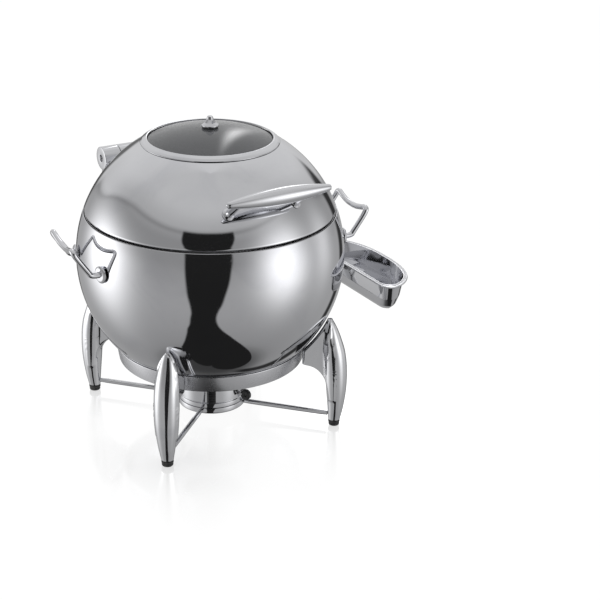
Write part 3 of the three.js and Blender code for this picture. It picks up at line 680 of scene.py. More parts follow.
# degrees round and up, spread round, below and above, brightness of each soft lamp
LAMPS = [(-100, -3, 17.5, 18.8, 11.2, 1.65), (64, 1, 15.5, 17.5, 17, 1.3), (110, -3, 9, 13, 13, 0.4),
         (173, 28, 1.6, 9, 14, 3.0)]

# dark door frames to the right and behind: degrees round, from and to, degrees up, from and to, light left
DOOR_FRAMES = [(141, 153, -72, 9, 0.1), (-172, -160, -26, 4, 0.25)]


def studio_world():
    """White to the eye and to soft light; to polished metal, a white room with a dark opening."""
    world = bpy.data.worlds.new("Studio")
    bpy.context.scene.world = world
    world.use_nodes = True
    t = Tree(world.node_tree)
    t.tree.nodes.clear()
    way = t.add("ShaderNodeTexCoord").outputs["Generated"]
    parts = t.add("ShaderNodeSeparateXYZ")
    t.join(way, parts.inputs[0])
    x, y, z = parts.outputs
    a = math.radians(VIEW_TURN - 90)
    front = t.plus(t.times(x, math.cos(a)), t.times(y, math.sin(a)))
    right = t.plus(t.times(x, -math.sin(a)), t.times(y, math.cos(a)))
    degree = 180 / math.pi
    round_ = t.times(t.math("ARCTAN2", right, front), degree)
    up = t.times(t.math("ARCSINE", z), degree)
    aside = t.math("ABSOLUTE", round_)

    # walls, ceiling and the line where they meet
    wall = t.curve(up, -90, 90, WALL_LEVELS)
    top = t.curve(aside, 0, 180, [(p, q + 20) for p, q in WALL_TOPS])
    above = t.minus(t.plus(up, 20.0), top)
    ceiling = t.ramp(above, -1.0, 1.6)
    roof = t.plus(t.ramp(above, 0, 22, 0.47, 0.615), t.ramp(aside, 90, 150, 0.0, 0.12))
    level = t.between(ceiling, wall, roof)
    line = t.rest(t.ramp(t.math("ABSOLUTE", above), 0.3, 3.8))
    level = t.times(level, t.rest(t.times(line, 0.2)))

    for round_at, up_at, wide, under, over, bright in LAMPS:
        across = t.over(t.minus(round_, float(round_at)), float(wide))
        along = t.minus(up, float(up_at))
        lower = t.over(t.math("MINIMUM", along, 0.0), float(under))
        upper = t.over(t.math("MAXIMUM", along, 0.0), float(over))
        along = t.plus(lower, upper)
        away = t.plus(t.times(across, across), t.times(along, along))
        glow = t.math("EXPONENT", t.times(away, -0.5))
        level = t.plus(level, t.times(glow, float(bright)))

    for start, end, low, high, keep in DOOR_FRAMES:
        hidden = t.times(t.times(t.inside(round_, start, end, 3.0), t.inside(up, low, high, 4.0)), 1.0 - keep)
        level = t.times(level, t.rest(hidden))

    left_edge = t.curve(up, -90, 90, [(row[0], row[1]) for row in DARK_EDGES])
    right_edge = t.curve(up, -90, 90, [(row[0], row[2]) for row in DARK_EDGES])
    dark = t.times(t.ramp(t.plus(round_, left_edge), -1.4, 1.4),
                  t.ramp(t.minus(right_edge, round_), -1.4, 1.4))
    dark = t.times(dark, t.rest(ceiling))
    room = t.between(dark, level, DARK_LEVEL)
    seen = t.add("ShaderNodeLightPath")
    soft = t.between(seen.outputs["Is Camera Ray"], studio().fill, 1.0)
    shown = t.between(seen.outputs["Is Glossy Ray"], soft, room)
    ground = t.add("ShaderNodeBackground")
    t.join(shown, ground.inputs["Color"])
    out = t.add("ShaderNodeOutputWorld")
    t.join(ground.outputs[0], out.inputs["Surface"])


def floor():
    bm = bmesh.new()
    bmesh.ops.create_grid(bm, x_segments=24, y_segments=24, size=6)
    plane = finish_mesh("floor", bm)
    plane.data.transform(Matrix.Translation((0, 0, -0.0002)))
    material, t, shader = new_material("Pale floor")
    shader.inputs["Base Color"].default_value = (0.9, 0.9, 0.9, 1)
    shader.inputs["Roughness"].default_value = 0.6
    place = t.add("ShaderNodeTexCoord").outputs["Object"]
    nearest = None
    for turn in LEG_TURNS.values():
        gap = t.add("ShaderNodeVectorMath", operation="DISTANCE")
        t.join(place, gap.inputs[0])
        gap.inputs[1].default_value = polar(SPINDLE[0][1] * MM, turn, 0)
        gap = gap.outputs["Value"]
        nearest = gap if nearest is None else t.math("MINIMUM", nearest, gap)
    share = t.times(t.math("EXPONENT", t.times(nearest, -14.0)), studio().floor_gloss)
    noise = t.noise(place, 3)
    # what the mirror takes from the floor's own light is given back, so only reflections show
    kept = t.rest(t.times(share, 0.6))
    glow = t.add("ShaderNodeEmission")
    t.join(t.times(t.over(kept, t.rest(share)), studio().floor_glow),
           glow.inputs["Strength"])
    mirror = t.add("ShaderNodeBsdfGlossy")
    t.join(t.ramp(noise, 0.3, 0.7, 0.08, 0.14), mirror.inputs["Roughness"])
    mirror.inputs["Color"].default_value = (1, 1, 1, 1)
    mix = t.add("ShaderNodeMixShader")
    t.join(share, mix.inputs[0])
    t.join(glow.outputs[0], mix.inputs[1])
    t.join(mirror.outputs[0], mix.inputs[2])
    both = t.add("ShaderNodeMixShader")
    both.inputs[0].default_value = 0.94
    t.join(shader.outputs[0], both.inputs[1])
    t.join(mix.outputs[0], both.inputs[2])
    out = next(n for n in t.tree.nodes if n.bl_idname == "ShaderNodeOutputMaterial")
    t.join(both.outputs[0], out.inputs["Surface"])
    plane.data.materials.append(material)
    plane.visible_glossy = False


def soft_lamp(name, place, aim, width, power):
    data = bpy.data.lights.new(name, "AREA")
    data.shape = "RECTANGLE"
    data.size, data.size_y = width, width * 0.7
    data.energy = power
    lamp = bpy.data.objects.new(name, data)
    lamp.location = place
    lamp.rotation_euler = (Vector(aim) - Vector(place)).to_track_quat("-Z", "Y").to_euler()
    lamp.visible_glossy = False
    bpy.context.scene.collection.objects.link(lamp)


def camera():
    data = bpy.data.cameras.new("Camera")
    data.lens = LENS
    data.sensor_width = 36
    data.clip_start, data.clip_end = 0.05, 50
    cam = bpy.data.objects.new("Camera", data)
    bpy.context.scene.collection.objects.link(cam)
    bpy.context.scene.camera = cam
    turn, rise = math.radians(VIEW_TURN - 90), math.radians(VIEW_RISE)
    back = Vector((math.cos(turn) * math.cos(rise), math.sin(turn) * math.cos(rise), math.sin(rise)))
    forward = -back
    right = forward.cross(Vector((0, 0, 1))).normalized()
    pan = about((0, 0, 1), VIEW_PAN)
    forward, right = pan @ forward, pan @ right
    tilt = about(right, VIEW_TILT)
    forward = tilt @ forward
    up = right.cross(forward)
    c, s = math.cos(math.radians(VIEW_ROLL)), math.sin(math.radians(VIEW_ROLL))
    right, up = c * right + s * up, c * up - s * right
    axes = Matrix((right, up, -forward)).transposed().to_4x4()
    cam.matrix_world = Matrix.Translation(CENTRE + VIEW_AWAY * back) @ axes


class KETTLE_OT_studio(Operator):
    """Pale floor, soft light all round and the camera"""
    bl_idname = "kettle.studio"
    bl_label = "Set up the studio"

    def execute(self, context):
        view = context.scene.view_settings
        view.view_transform = "Standard"
        view.look = "None"
        studio_world()
        floor()
        soft_lamp("Key", (-1.4, -2.0, 2.4), CENTRE, 1.4, 26)
        soft_lamp("Rim", (2.2, 0.6, 1.8), CENTRE, 1.2, 14)
        camera()
        return {"FINISHED"}


# ---- stand ----
BOWL_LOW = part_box("lower_bowl")[0].z
RING_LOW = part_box("base_ring")[0].z
RING_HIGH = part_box("base_ring")[1].z
RING_R = size("base_ring").x / 2  # at its top
RING_FOOT_R = RING_R - 4 * MM
LEG_TURNS = {"front_left": 223, "front_right": 313, "rear_left": 133, "rear_right": 43}
# height, distance from the ball's axis, half depth, half width of the leg's spindle
SPINDLE = [(8.3, 187, 8.5, 8.5), (30, 188.5, 11.5, 12.3), (60, 189, 14.5, 16), (90, 188, 15.5, 17.2),
           (115, 186, 14.5, 16.5), (135, 183, 11.5, 13.8), (150, 180.6, 8, 10), (160, 179, 4.6, 6),
           (166, 178.2, 1.6, 2.2)]
LEG_LOW, LEG_TOP = SPINDLE[0][0], SPINDLE[-1][0]
LEG_EDGE = 1.5  # rounding of the leg's lower end
BALL_GAP = 1.2  # between the arm and the ball
# underside of the arm: height, distance from the ball's axis
ARCH = [(42, 181), (62, 176.5), (78, 169), (88, 159), (92, 149), (93, 138.3)]


def between(table, x, column):
    """A value from a table by a smooth line through its rows."""
    rows = [table[0], *table, table[-1]]
    for i in range(1, len(table)):
        if x <= table[i][0] or i == len(table) - 1:
            p0, p1, p2, p3 = (row[column] for row in rows[i - 1:i + 3])
            x0, x1 = table[i - 1][0], table[i][0]
            span = x1 - x0
            t = min(max((x - x0) / span, 0), 1)
            before = after = (p2 - p1) / span
            if i > 1:
                before = (p2 - p0) / (x1 - rows[i - 1][0])
            if i < len(table) - 1:
                after = (p3 - p1) / (rows[i + 2][0] - x0)
            return ((2 * t ** 3 - 3 * t ** 2 + 1) * p1 + (t ** 3 - 2 * t ** 2 + t) * span * before
                    + (-2 * t ** 3 + 3 * t ** 2) * p2 + (t ** 3 - t ** 2) * span * after)


def leg(name):
    """A spindle leg with an arm that runs up under the ball and down to the ring."""
    ball = BALL_R / MM + BALL_GAP
    half = sizes().web / MM / 2
    ring_high, centre = RING_HIGH / MM, CZ / MM
    heights = []
    for low, high, step in ((LEG_LOW, 10.3, 0.5), (10.3, 42, 3), (42, 84, 2), (84, 94, 0.4),
                            (94, ring_high, 2), (ring_high, 160, 2.2), (160, LEG_TOP, 0.8)):
        count = round((high - low) / step)
        heights += [low + (high - low) * i / count for i in range(count)]
    heights.append(LEG_TOP)
    around, rings = 26, []
    for z in heights:
        middle_r, deep, wide = (between(SPINDLE, z, k) for k in (1, 2, 3))
        edge = min(z - LEG_LOW, LEG_EDGE)
        if edge < LEG_EDGE:
            trim = LEG_EDGE - math.sqrt(max(LEG_EDGE ** 2 - (LEG_EDGE - edge) ** 2, 0))
            deep, wide = deep - trim, wide - trim
        outer = middle_r + deep
        inner = middle_r - deep
        arm_in = None
        if z > ARCH[0][0]:
            arm_in = between(ARCH, z, 1) if z < ARCH[-1][0] else ARCH[-1][1]
            if z > ring_high + 1:
                arm_in = math.sqrt(ball ** 2 - (centre - z) ** 2)
        start = min(inner, arm_in) if arm_in else inner
        ring = []
        for side in (1, -1):
            for k in range(around):
                u = (1 - math.cos(math.pi * (k + 0.5) / around)) / 2
                r = outer + (start - outer) * (u if side > 0 else 1 - u)
                own = (r - middle_r) / deep
                spindle = wide * math.sqrt(max(1 - own * own, 0))
                arm = 0.0
                if arm_in is not None and arm_in <= r <= middle_r + 2:
                    fade = min((r - arm_in) / 5.0, 1)
                    arm = min(half, wide * 0.92) * math.sqrt(max(1 - (1 - fade) ** 2, 0))
                width = (spindle ** 3 + arm ** 3) ** (1 / 3)
                ring.append(Vector((r * MM, side * width * MM, z * MM)))
        rings.append(ring)
    return skin(name, rings, smooth_angle=50)


class KETTLE_OT_stand(Operator):
    """Base ring, four cast legs, their pads, rods and screws, and the fuel tray"""
    bl_idname = "kettle.stand"
    bl_label = "Build the stand"

    def execute(self, context):
        thick, seat = 3 * MM, 130 * MM
        shelf = BOWL_LOW - 0.3 * MM
        ring = turned("ring_band", [
            (RING_R, RING_HIGH, 0.0006), (RING_FOOT_R, RING_LOW), (RING_FOOT_R - thick, RING_LOW),
            (RING_R - thick - 1 * MM, shelf - thick, 0.0015), (seat, shelf - thick), (seat, shelf),
            (seat + 2.6 * MM, shelf, 0.001)], 0.0008)
        settle(on_axis(ring), "band", "stand", "base_ring")
        slope = math.degrees(math.atan2(RING_R - RING_FOOT_R, RING_HIGH - RING_LOW))
        for place, turn in LEG_TURNS.items():
            spin = upright(turn)
            post = on_axis(leg(f"stand_leg_{place}"), spin)
            settle(post, "casting", "stand", f"leg_{place}")

            low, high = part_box(f"foot_pad_{place}")
            r = (high.x - low.x) / 2
            pad = turned(f"rubber_foot_{place}", [
                (0, low.z, 0), (r - 1.6 * MM, low.z, 0.0008), (r - 0.3 * MM, low.z + 1.6 * MM, 0.001),
                (r - 0.9 * MM, low.z + 3.4 * MM, 0.0008), (r, low.z + 5 * MM, 0.0008), (r, high.z, 0.0006),
                (0, high.z, 0)], segments=SMALL)
            put(pad, ((low.x + high.x) / 2, (low.y + high.y) / 2, 0))
            settle(pad, "rubber", "stand", f"foot_pad_{place}")

            low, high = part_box(f"cross_rod_{place}")
            level, rod_r = (low.z + high.z) / 2, (high.z - low.z) / 2
            tray_r = size("fuel_tray").x / 2
            ends = [polar(tray_r + 0.3 * MM, turn, level), polar(SPINDLE[0][1] * MM - 10.1 * MM, turn, level)]
            bar = tube(f"stand_rod_{place}", [ends[0].lerp(ends[1], i / 12) for i in range(13)],
                       lambda u, r=rod_r: r * (1 - 0.12 * max(0, 1 - min(u, 1 - u) / 0.04)), 24)
            settle(bar, "casting", "stand", f"cross_rod_{place}")

            head = screw(f"ring_screw_{place}", 4 * MM, 2.5 * MM)
            tilt = about((0, 1, 0), -90 + slope)
            head.data.transform(tilt.to_matrix().to_4x4())
            low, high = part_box(f"leg_screw_{place}")
            reach = Vector(((low.x + high.x) / 2 - AX, (low.y + high.y) / 2 - AY, 0)).length + 1.2 * MM
            head.data.transform(Matrix.Translation((reach, 0, (low.z + high.z) / 2)))
            on_axis(head, spin)
            settle(head, "satin", "stand", f"leg_screw_{place}")

        low, high, r = round_size("fuel_tray")
        tray = turned("burner_saucer", [
            (0, low, 0), (r, low, 0.003), (r, high, 0.0004), (r - 1.5 * MM, high, 0.0004),
            (r - 2 * MM, low + 2 * MM, 0.002), (0, low + 2 * MM, 0)])
        settle(on_axis(tray), "mirror", "stand", "fuel_tray")
        return {"FINISHED"}


# ---- burner ----
BURNER_TURN = -28
BURNER_R = 49 * MM
LEVER_TURN = BURNER_TURN + 270 + 54
LEVER_OUT = 7 * MM
LEVER_SWEEP = 45


class KETTLE_OT_burner(Operator):
    """Fuel burner in its tray: housing, can, grip, and the damper with its lever"""
    bl_idname = "kettle.burner"
    bl_label = "Build the burner"

    def execute(self, context):
        low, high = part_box("burner_housing")
        r = BURNER_R
        base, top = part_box("fuel_tray")[1].z + 0.3 * MM, high.z
        wall = 1.5 * MM
        neck = size("fuel_can").x / 2 + 1.5 * MM
        seat = r - 2.3 * MM
        groove = base + 8 * MM
        shell = turned("burner_shell", [
            (r, base, 0.001), (r, groove - 1.2 * MM, 0.0006), (r - 1.1 * MM, groove, 0.0008),
            (r, groove + 1.2 * MM, 0.0006), (r, top - 3 * MM, 0.003), (r - 3.4 * MM, top, 0.003),
            (neck, top, 0.0005), (neck, top - wall, 0.0004), (r - wall - 2.5 * MM, top - wall, 0.002),
            (r - wall, top - 3.5 * MM, 0.002),
            (r - wall, base + wall, 0.0005), (seat - wall, base + wall, 0.0005), (seat - wall, low.z, 0.0003),
            (seat, low.z, 0.0003), (seat, base, 0.0003)])
        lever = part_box("damper_ring")[0].z + 4 * MM
        slit = []
        half = math.degrees(math.atan2(4 * MM, r))
        for i in range(17):
            a = math.radians(LEVER_TURN - half + (LEVER_SWEEP + 2 * half) * i / 16)
            c, s = math.cos(a), math.sin(a)
            slit.append([Vector((q * c, q * s, z)) for q, z in (
                (r - 6 * MM, lever - 0.5 * MM), (r + 3 * MM, lever - 0.5 * MM),
                (r + 3 * MM, lever + 3.5 * MM), (r - 6 * MM, lever + 3.5 * MM))])
        cut(shell, skin("slit", slit))
        settle(on_axis(shell), "mirror", "stand", "burner_housing")

        low, high, r_can = round_size("fuel_can")
        can = turned("fuel_tin", [
            (0, low, 0), (r_can - 2 * MM, low, 0.0006), (r_can, low + 1.5 * MM, 0.0008),
            (r_can - 0.8 * MM, low + 4 * MM, 0.001), (r_can - 0.8 * MM, high - 5 * MM, 0.001),
            (r_can, high - 3 * MM, 0.0008), (r_can, high, 0.0008), (r_can - 2 * MM, high, 0.0006),
            (r_can - 2 * MM, high - 4 * MM, 0.0008), (r_can * 0.72, high - 4 * MM, 0.001),
            (r_can * 0.68, high - 4.6 * MM, 0.0006), (r_can * 0.5, high - 4.2 * MM, 0.001),
            (r_can * 0.5, high - 10 * MM, 0.001), (0, high - 10 * MM, 0)], segments=MEDIUM)
        settle(on_axis(can), "tin", "stand", "fuel_can")

        turn = upright(BURNER_TURN)
        face = -(r + 0.3 * MM)
        z = base + 26 * MM
        grip = block("grip", (-6 * MM, face - 5.5 * MM, z - 17 * MM),
                     (6 * MM, face - 0.9 * MM, z + 17 * MM), 0.0018, 4)
        for k in range(-3, 4):
            at = z + k * 4 * MM
            cut(grip, block("groove", (-7 * MM, face - 7 * MM, at - 0.6 * MM),
                            (7 * MM, face - 4.9 * MM, at + 0.6 * MM), 0.0003, 1))
        stem = block("stem", (-3.5 * MM, face - 2 * MM, z - 2 * MM),
                     (3.5 * MM, face - 0.1 * MM, z + 6 * MM), 0.0004, 2)
        grip = merge("burner_handle", [grip, stem])
        on_axis(grip, turn)
        settle(grip, "phenolic", "stand", "burner_grip")

        low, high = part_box("damper_ring")
        outer = r - wall - 0.9 * MM
        band = turned("band", [
            (outer, low.z), (outer, high.z), (outer - 1.6 * MM, high.z), (outer - 1.6 * MM, low.z)], 0.0004)
        arm = block("arm", (outer - 1 * MM, -3.5 * MM, lever),
                    (r + LEVER_OUT, 3.5 * MM, lever + 3 * MM), 0.0006, 2)
        put(arm, (0, 0, 0), upright(LEVER_TURN))
        damper = merge("damper_band", [band, arm])
        settle(on_axis(damper), "satin", "damper", "damper_ring")

        knob = turned("damper_eye", [
            (0, -3.5 * MM, 0), (8 * MM, -3.5 * MM, 0.0022), (8 * MM, 3.5 * MM, 0.0022), (0, 3.5 * MM, 0)],
            segments=SMALL)
        cut(knob, put(round_bar(2.6 * MM, 0.006), (2 * MM, 0, 0)))
        put(knob, (r + LEVER_OUT + 5 * MM, 0, lever + 1.5 * MM), about((1, 0, 0), 90))
        cut(knob, block("pocket", (r, -3.8 * MM, lever - 0.3 * MM),
                        (r + LEVER_OUT + 0.4 * MM, 3.8 * MM, lever + 3.3 * MM), 0.0002, 1))
        on_axis(knob, upright(LEVER_TURN))
        settle(knob, "phenolic", "damper", "damper_knob")
        return {"FINISHED"}


# ---- bowl ----
BOWL_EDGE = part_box("lower_bowl")[1].z
BALL_FOOT = 131 * MM  # the ball shape ends this far below its centre
RIM_WIDE = 23 * MM
POT_FLANGE, POT_SHEET, POT_CORNER = 14 * MM, 1.2 * MM, 45 * MM


class KETTLE_OT_bowl(Operator):
    """The lower half of the ball, its inner flange and the soup insert"""
    bl_idname = "kettle.bowl"
    bl_label = "Build the bowl"

    def execute(self, context):
        wall = sizes().sheet
        edge = BOWL_EDGE - CZ
        flat = math.sqrt(BALL_R ** 2 - BALL_FOOT ** 2) - 5 * MM
        turn = sizes().lid_turn
        outer = ball_arc(BALL_R, -BALL_FOOT, edge - turn, 72)
        inner = ball_arc(BALL_R - wall, edge - turn, wall - BALL_FOOT, 60)
        lip = rounded([outer[-1], (outer[-1][0] - 0.35 * turn, BOWL_EDGE, 0.0012),
                       (inner[0][0] - 0.1 * MM, BOWL_EDGE, 0.0004), inner[0]], 0.001, closed=False, steps=6)
        profile = [(0, BOWL_LOW), (flat - 1 * MM, BOWL_LOW), (flat + 1.2 * MM, BOWL_LOW + 0.4 * MM), *outer,
                   *lip[1:-1], *inner, (flat - 1 * MM, BOWL_LOW + wall), (0, BOWL_LOW + wall)]
        bowl = lathe("steel_bowl", profile, closed=False, smooth_angle=60)
        settle(on_axis(bowl), "mirror", "kettle", "lower_bowl")

        low, high, r = round_size("bowl_rim")
        inner_r = r - RIM_WIDE
        rim = turned("bowl_flange", [
            (r, high, 0.0004), (r, high - wall, 0.0004), (inner_r + wall, high - wall, 0.0006),
            (inner_r + wall, low, 0.0003), (inner_r, low, 0.0003), (inner_r, high, 0.002)])
        settle(on_axis(rim), "satin", "kettle", "bowl_rim")

        low, high, flange = round_size("soup_insert")
        pot, skin_t, corner = flange - POT_FLANGE, POT_SHEET, POT_CORNER
        insert = turned("soup_pot", [
            (0, low, 0), (pot, low, corner), (pot, high - skin_t, 0.002),
            (flange, high - skin_t, 0.0004), (flange, high, 0.0006), (pot - skin_t, high, 0.003),
            (pot - skin_t, low + skin_t, corner - skin_t),
            (0, low + skin_t, 0)], steps=10, smooth_angle=50)
        settle(on_axis(insert), "satin", "kettle", "soup_insert")
        return {"FINISHED"}


# ---- carrying handles ----
HANDLE_TURN = -4.9  # both handles round the ball's axis, degrees
HANDLE_AHEAD = 9.8  # and forward, millimetres
HANDLE_HALF = 45
HANDLE_UP = 15.5  # rod above the ball's centre where it leaves the bosses


def handle_face(y):
    """Distance out to the ball at one end of a handle, millimetres."""
    return math.sqrt((BALL_R / MM) ** 2 - HANDLE_UP ** 2 - y ** 2)


def handle_path(side):
    """The rod's middle line: out of both bosses, up, and a dipped top bar."""
    half, z = HANDLE_HALF, CZ / MM + HANDLE_UP
    top = (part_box(f"side_handle_{side}")[1].z - sizes().rod) / MM - 1
    out, ahead = 220.0, HANDLE_AHEAD if side == "left" else -HANDLE_AHEAD
    points = []
    for s in (-1, 1):
        foot = handle_face(s * half + ahead) + 1.6
        arm = [(foot, half, z), (192, half, z), (197, half, z + 1.5), (199.8, half, z + 5.5),
               (out - 3.2, half, top - 6), (out - 0.6, half - 1, top - 1), (out, half - 5, top + 0.8),
               (out - 0.4, half - 16, top - 2), (out - 1, 13, top - 5.4)]
        arm = [(x, s * y + ahead, h) for x, y, h in arm]
        points += arm + [(out - 1.2, ahead, top - 6)] if s < 0 else arm[::-1]
    return spline([Vector(p) * MM for p in points], 200), ahead


class KETTLE_OT_side_handles(Operator):
    """Two bent rod handles and the bosses that hold them"""
    bl_idname = "kettle.side_handles"
    bl_label = "Build the carrying handles"

    def execute(self, context):
        bore = sizes().rod + 0.3 * MM
        for side, turn in (("left", 180), ("right", 0)):
            path, ahead = handle_path(side)
            spin = upright(turn + HANDLE_TURN)
            bar = tube(f"carry_handle_{side}", path, sizes().rod, 28)
            on_axis(bar, spin)
            settle(bar, "mirror", "kettle", f"side_handle_{side}")
            for end, s in (("front", 1 if side == "left" else -1), ("rear", -1 if side == "left" else 1)):
                y = s * HANDLE_HALF + ahead
                place = (handle_face(y) * MM + 1.2 * MM, y * MM, CZ + HANDLE_UP * MM)
                boss = turned(f"handle_collar_{side}_{end}", [
                    (0, 0.3 * MM, 0), (12 * MM, 0.3 * MM, 0.0004), (12 * MM, 2 * MM, 0.0012),
                    (9 * MM, 4 * MM, 0.003), (0, 4 * MM, 0)], segments=MEDIUM)
                lean = upright(math.degrees(math.asin(y * MM / BALL_R)))
                put(boss, place, lean @ ALONG_X)
                cut(boss, put(round_bar(bore, 0.03), place, ALONG_X))
                on_axis(boss, spin)
                settle(boss, "mirror", "kettle", f"handle_boss_{side}_{end}")
        return {"FINISHED"}


# ---- spoon dish ----
# inset from the rim, drop below it: the dish's outside, from the bottom up
DISH_STEPS = [(28, 52), (23, 50.5), (14.5, 41), (9.5, 27), (7, 13), (5.4, 3.0)]
# the rolled rim, in the same way, with heights below the rim's top as minus
DISH_LIP = [(1.0, -2.7), (0.3, -2.2), (0, -1.4), (0.25, -0.6), (0.9, -0.1), (1.7, 0), (2.5, -0.35),
            (3.0, -1.0), (3.6, -1.2), (4.3, -0.9), (5.0, -0.3), (6.0, -0.35)]
DISH_BOW = 2.35  # how square its bowed side is
DISH_CORNER = 20
BRACKET_PLATE = 197 * MM  # the plate's middle from the ball's axis


def dish_outline(inset):
    """Straight along the ball with rounded corners, bowed outside. Millimetres from the dish's inner side."""
    low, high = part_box("drip_dish")
    wide, long = (high.x - low.x) / MM, (high.y - low.y) / MM / 2 + 1
    half = long - inset * 1.6
    corner = max(DISH_CORNER - inset * 0.3, 8)

    def outer(y):
        return inset + (wide - 2 * inset) * (1 - min(abs(y) / half, 1) ** DISH_BOW) ** (1 / DISH_BOW)

    def inner(y):
        over = max(abs(y) - (half - corner), 0)
        return inset + corner - math.sqrt(max(corner ** 2 - over ** 2, 0))

    end = half
    while outer(end) < inner(end):
        end -= 0.05
    bowed = [(outer(y), y) for y in (-end * math.cos(math.pi * i / 72) for i in range(73))]
    straight = [(inner(y), y) for y in (end * math.cos(math.pi * i / 48) for i in range(1, 48))]
    return bowed + straight


def hollowed(obj, grow=0.9):
    """Takes the ball, a little grown, out of a piece that lies against it."""
    r = BALL_R + grow * MM
    ball = lathe("ball", [(r * math.cos(a), r * math.sin(a)) for a in
                          (math.radians(-90 + 180 * i / 96) for i in range(97))], MEDIUM, False)
    return cut(obj, put(ball, CENTRE))


class KETTLE_OT_dish(Operator):
    """The spoon dish at the side, its bracket and screws"""
    bl_idname = "kettle.dish"
    bl_label = "Build the spoon dish"

    def execute(self, context):
        low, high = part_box("drip_dish")
        centre_y = (low.y + high.y) / 2
        wall = sizes().dish_sheet / MM
        line = rounded([(i, -d, 12 if 0 < k < 5 else 0) for k, (i, d) in enumerate(DISH_STEPS)], 10,
                       closed=False, steps=6)
        inside = [(i + wall * 0.8, min(d + wall, 0)) for i, d in reversed(line)]
        profile = [*line, *DISH_LIP, *inside[1:]]
        rings = [[Vector((low.x + x * MM, centre_y + y * MM, high.z + d * MM)) for x, y in dish_outline(i)]
                 for i, d in profile]
        dish = skin("spoon_dish", rings, smooth_angle=50)
        settle(dish, "mirror", "dish", "drip_dish")

        low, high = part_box("dish_bracket")
        at = AX + BRACKET_PLATE
        foot = hollowed(block("foot", (low.x - 4 * MM, low.y, low.z),
                              (at + 1 * MM, high.y, low.z + 16 * MM), 0.0012, 2))
        plate = block("plate", (at - 1.5 * MM, low.y, low.z), (at + 1.5 * MM, high.y, high.z - 0.2 * MM),
                      0.0008, 3)
        hook = block("hook", (at - 1.5 * MM, low.y, high.z - 2.5 * MM), (high.x, high.y, high.z), 0.0008, 3)
        bracket = merge("dish_holder", [foot, plate, hook])
        settle(bracket, "satin", "kettle", "dish_bracket")
        for end in ("front", "rear"):
            low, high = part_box(f"dish_screw_{end}")
            head = screw(f"holder_screw_{end}", (high.z - low.z) / 2, high.x - low.x)
            put(head, (low.x, (low.y + high.y) / 2, (low.z + high.z) / 2), ALONG_X)
            settle(head, "satin", "kettle", f"dish_screw_{end}")
        return {"FINISHED"}


# ---- hinge ----
PIN_AT = middle("hinge_pin")
# millimetres: leaf's underside above the ball, its half width and thickness, how high its neck stands
LEAF_OVER, LEAF_HALF, LEAF_THICK, NECK_TOP = 0.9, 39, 3.4, 12
LEAF_START, LEAF_END, NECK_END = -6.5, 24, 6.5  # along the lid from the hinge axis
ARM_FROM, ARM_TO = 171 * MM, 197 * MM  # the brackets' arms, behind the ball's axis
SWEEP_R, SWEEP_DOWN = 60 * MM, 22 * MM  # the hollow under the arms


def tube_x(name, outer, inner, start, end):
    """A hollow cylinder along X round the hinge axis, with eased edges."""
    corners = [(inner, start, 0.0003), (outer, start, 0.0014), (outer, end, 0.0014), (inner, end, 0.0003)]
    return put(turned(name, corners, segments=MEDIUM), PIN_AT, ALONG_X)


def on_lid(name, half_wide, low, high, under, over):
    """A plate that follows the ball: millimetres across, along the lid from the hinge, and above the ball."""
    lift = about((1, 0, 0), math.degrees(math.atan2(PIN_AT.z - CZ, PIN_AT.y - AY)))
    edge = rounded([(low, under), (high, under), (high, over), (low, over)], 1.2, steps=4)
    rings = []
    for i in range(33):
        x = half_wide * (-1 + i / 16)
        rings.append([CENTRE + lift @ (Vector((x, math.sqrt((BALL_R / MM + r) ** 2 - x * x - h * h), h)) * MM)
                      for h, r in edge])
    return skin(name, rings, smooth_angle=35)


class KETTLE_OT_hinge(Operator):
    """Lid hinge behind the kettle: brackets with knuckles, barrel with its leaf, pin and screws"""
    bl_idname = "kettle.hinge"
    bl_label = "Build the hinge"

    def execute(self, context):
        low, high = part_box("hinge_barrel")
        outer, bore = high.y - PIN_AT.y, size("hinge_pin").z / 2 + 0.3 * MM
        half = (high.x - low.x) / 2
        barrel = tube_x("barrel", outer, bore, -half, half)
        leaf = on_lid("leaf", LEAF_HALF, LEAF_START, LEAF_END, LEAF_OVER, LEAF_OVER + LEAF_THICK)
        neck = on_lid("neck", LEAF_HALF, LEAF_START, NECK_END, LEAF_OVER, NECK_TOP)
        barrel = merge("lid_leaf", [barrel, leaf, neck])
        settle(barrel, "mirror", "lid", "hinge_barrel")

        for side in ("left", "right"):
            low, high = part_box(f"hinge_bracket_{side}")
            arm = block("arm", (low.x + 2 * MM, AY + ARM_FROM, low.z),
                        (high.x - 2 * MM, AY + ARM_TO, PIN_AT.z), 0.0025, 4)
            hollowed(arm)
            sweep_r = outer + SWEEP_R
            under = (AX, PIN_AT.y + 3 * MM - sweep_r, PIN_AT.z + SWEEP_DOWN)
            cut(arm, put(round_bar(sweep_r, 0.2, FINE), under, ALONG_X))
            cut(arm, put(round_bar(outer - 2 * MM, 0.2, MEDIUM), PIN_AT, ALONG_X))
            knuckle = tube_x("knuckle", outer, bore, low.x - PIN_AT.x, high.x - PIN_AT.x)
            bracket = merge(f"bowl_knuckle_{side}", [arm, knuckle])
            settle(bracket, "mirror", "kettle", f"hinge_bracket_{side}")
            low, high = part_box(f"bracket_screw_{side}")
            head = screw(f"knuckle_screw_{side}", (high.z - low.z) / 2, high.y - low.y)
            put(head, ((low.x + high.x) / 2, low.y, (low.z + high.z) / 2), about((1, 0, 0), -90))
            settle(head, "satin", "kettle", f"bracket_screw_{side}")

        long, r = size("hinge_pin").x / 2, size("hinge_pin").z / 2
        pin = turned("hinge_rod", [(0, -long, 0), (r, -long, 0.001), (r, long, 0.001), (0, long, 0)],
                     segments=SMALL)
        put(pin, PIN_AT, ALONG_X)
        settle(pin, "satin", "kettle", "hinge_pin")
        return {"FINISHED"}


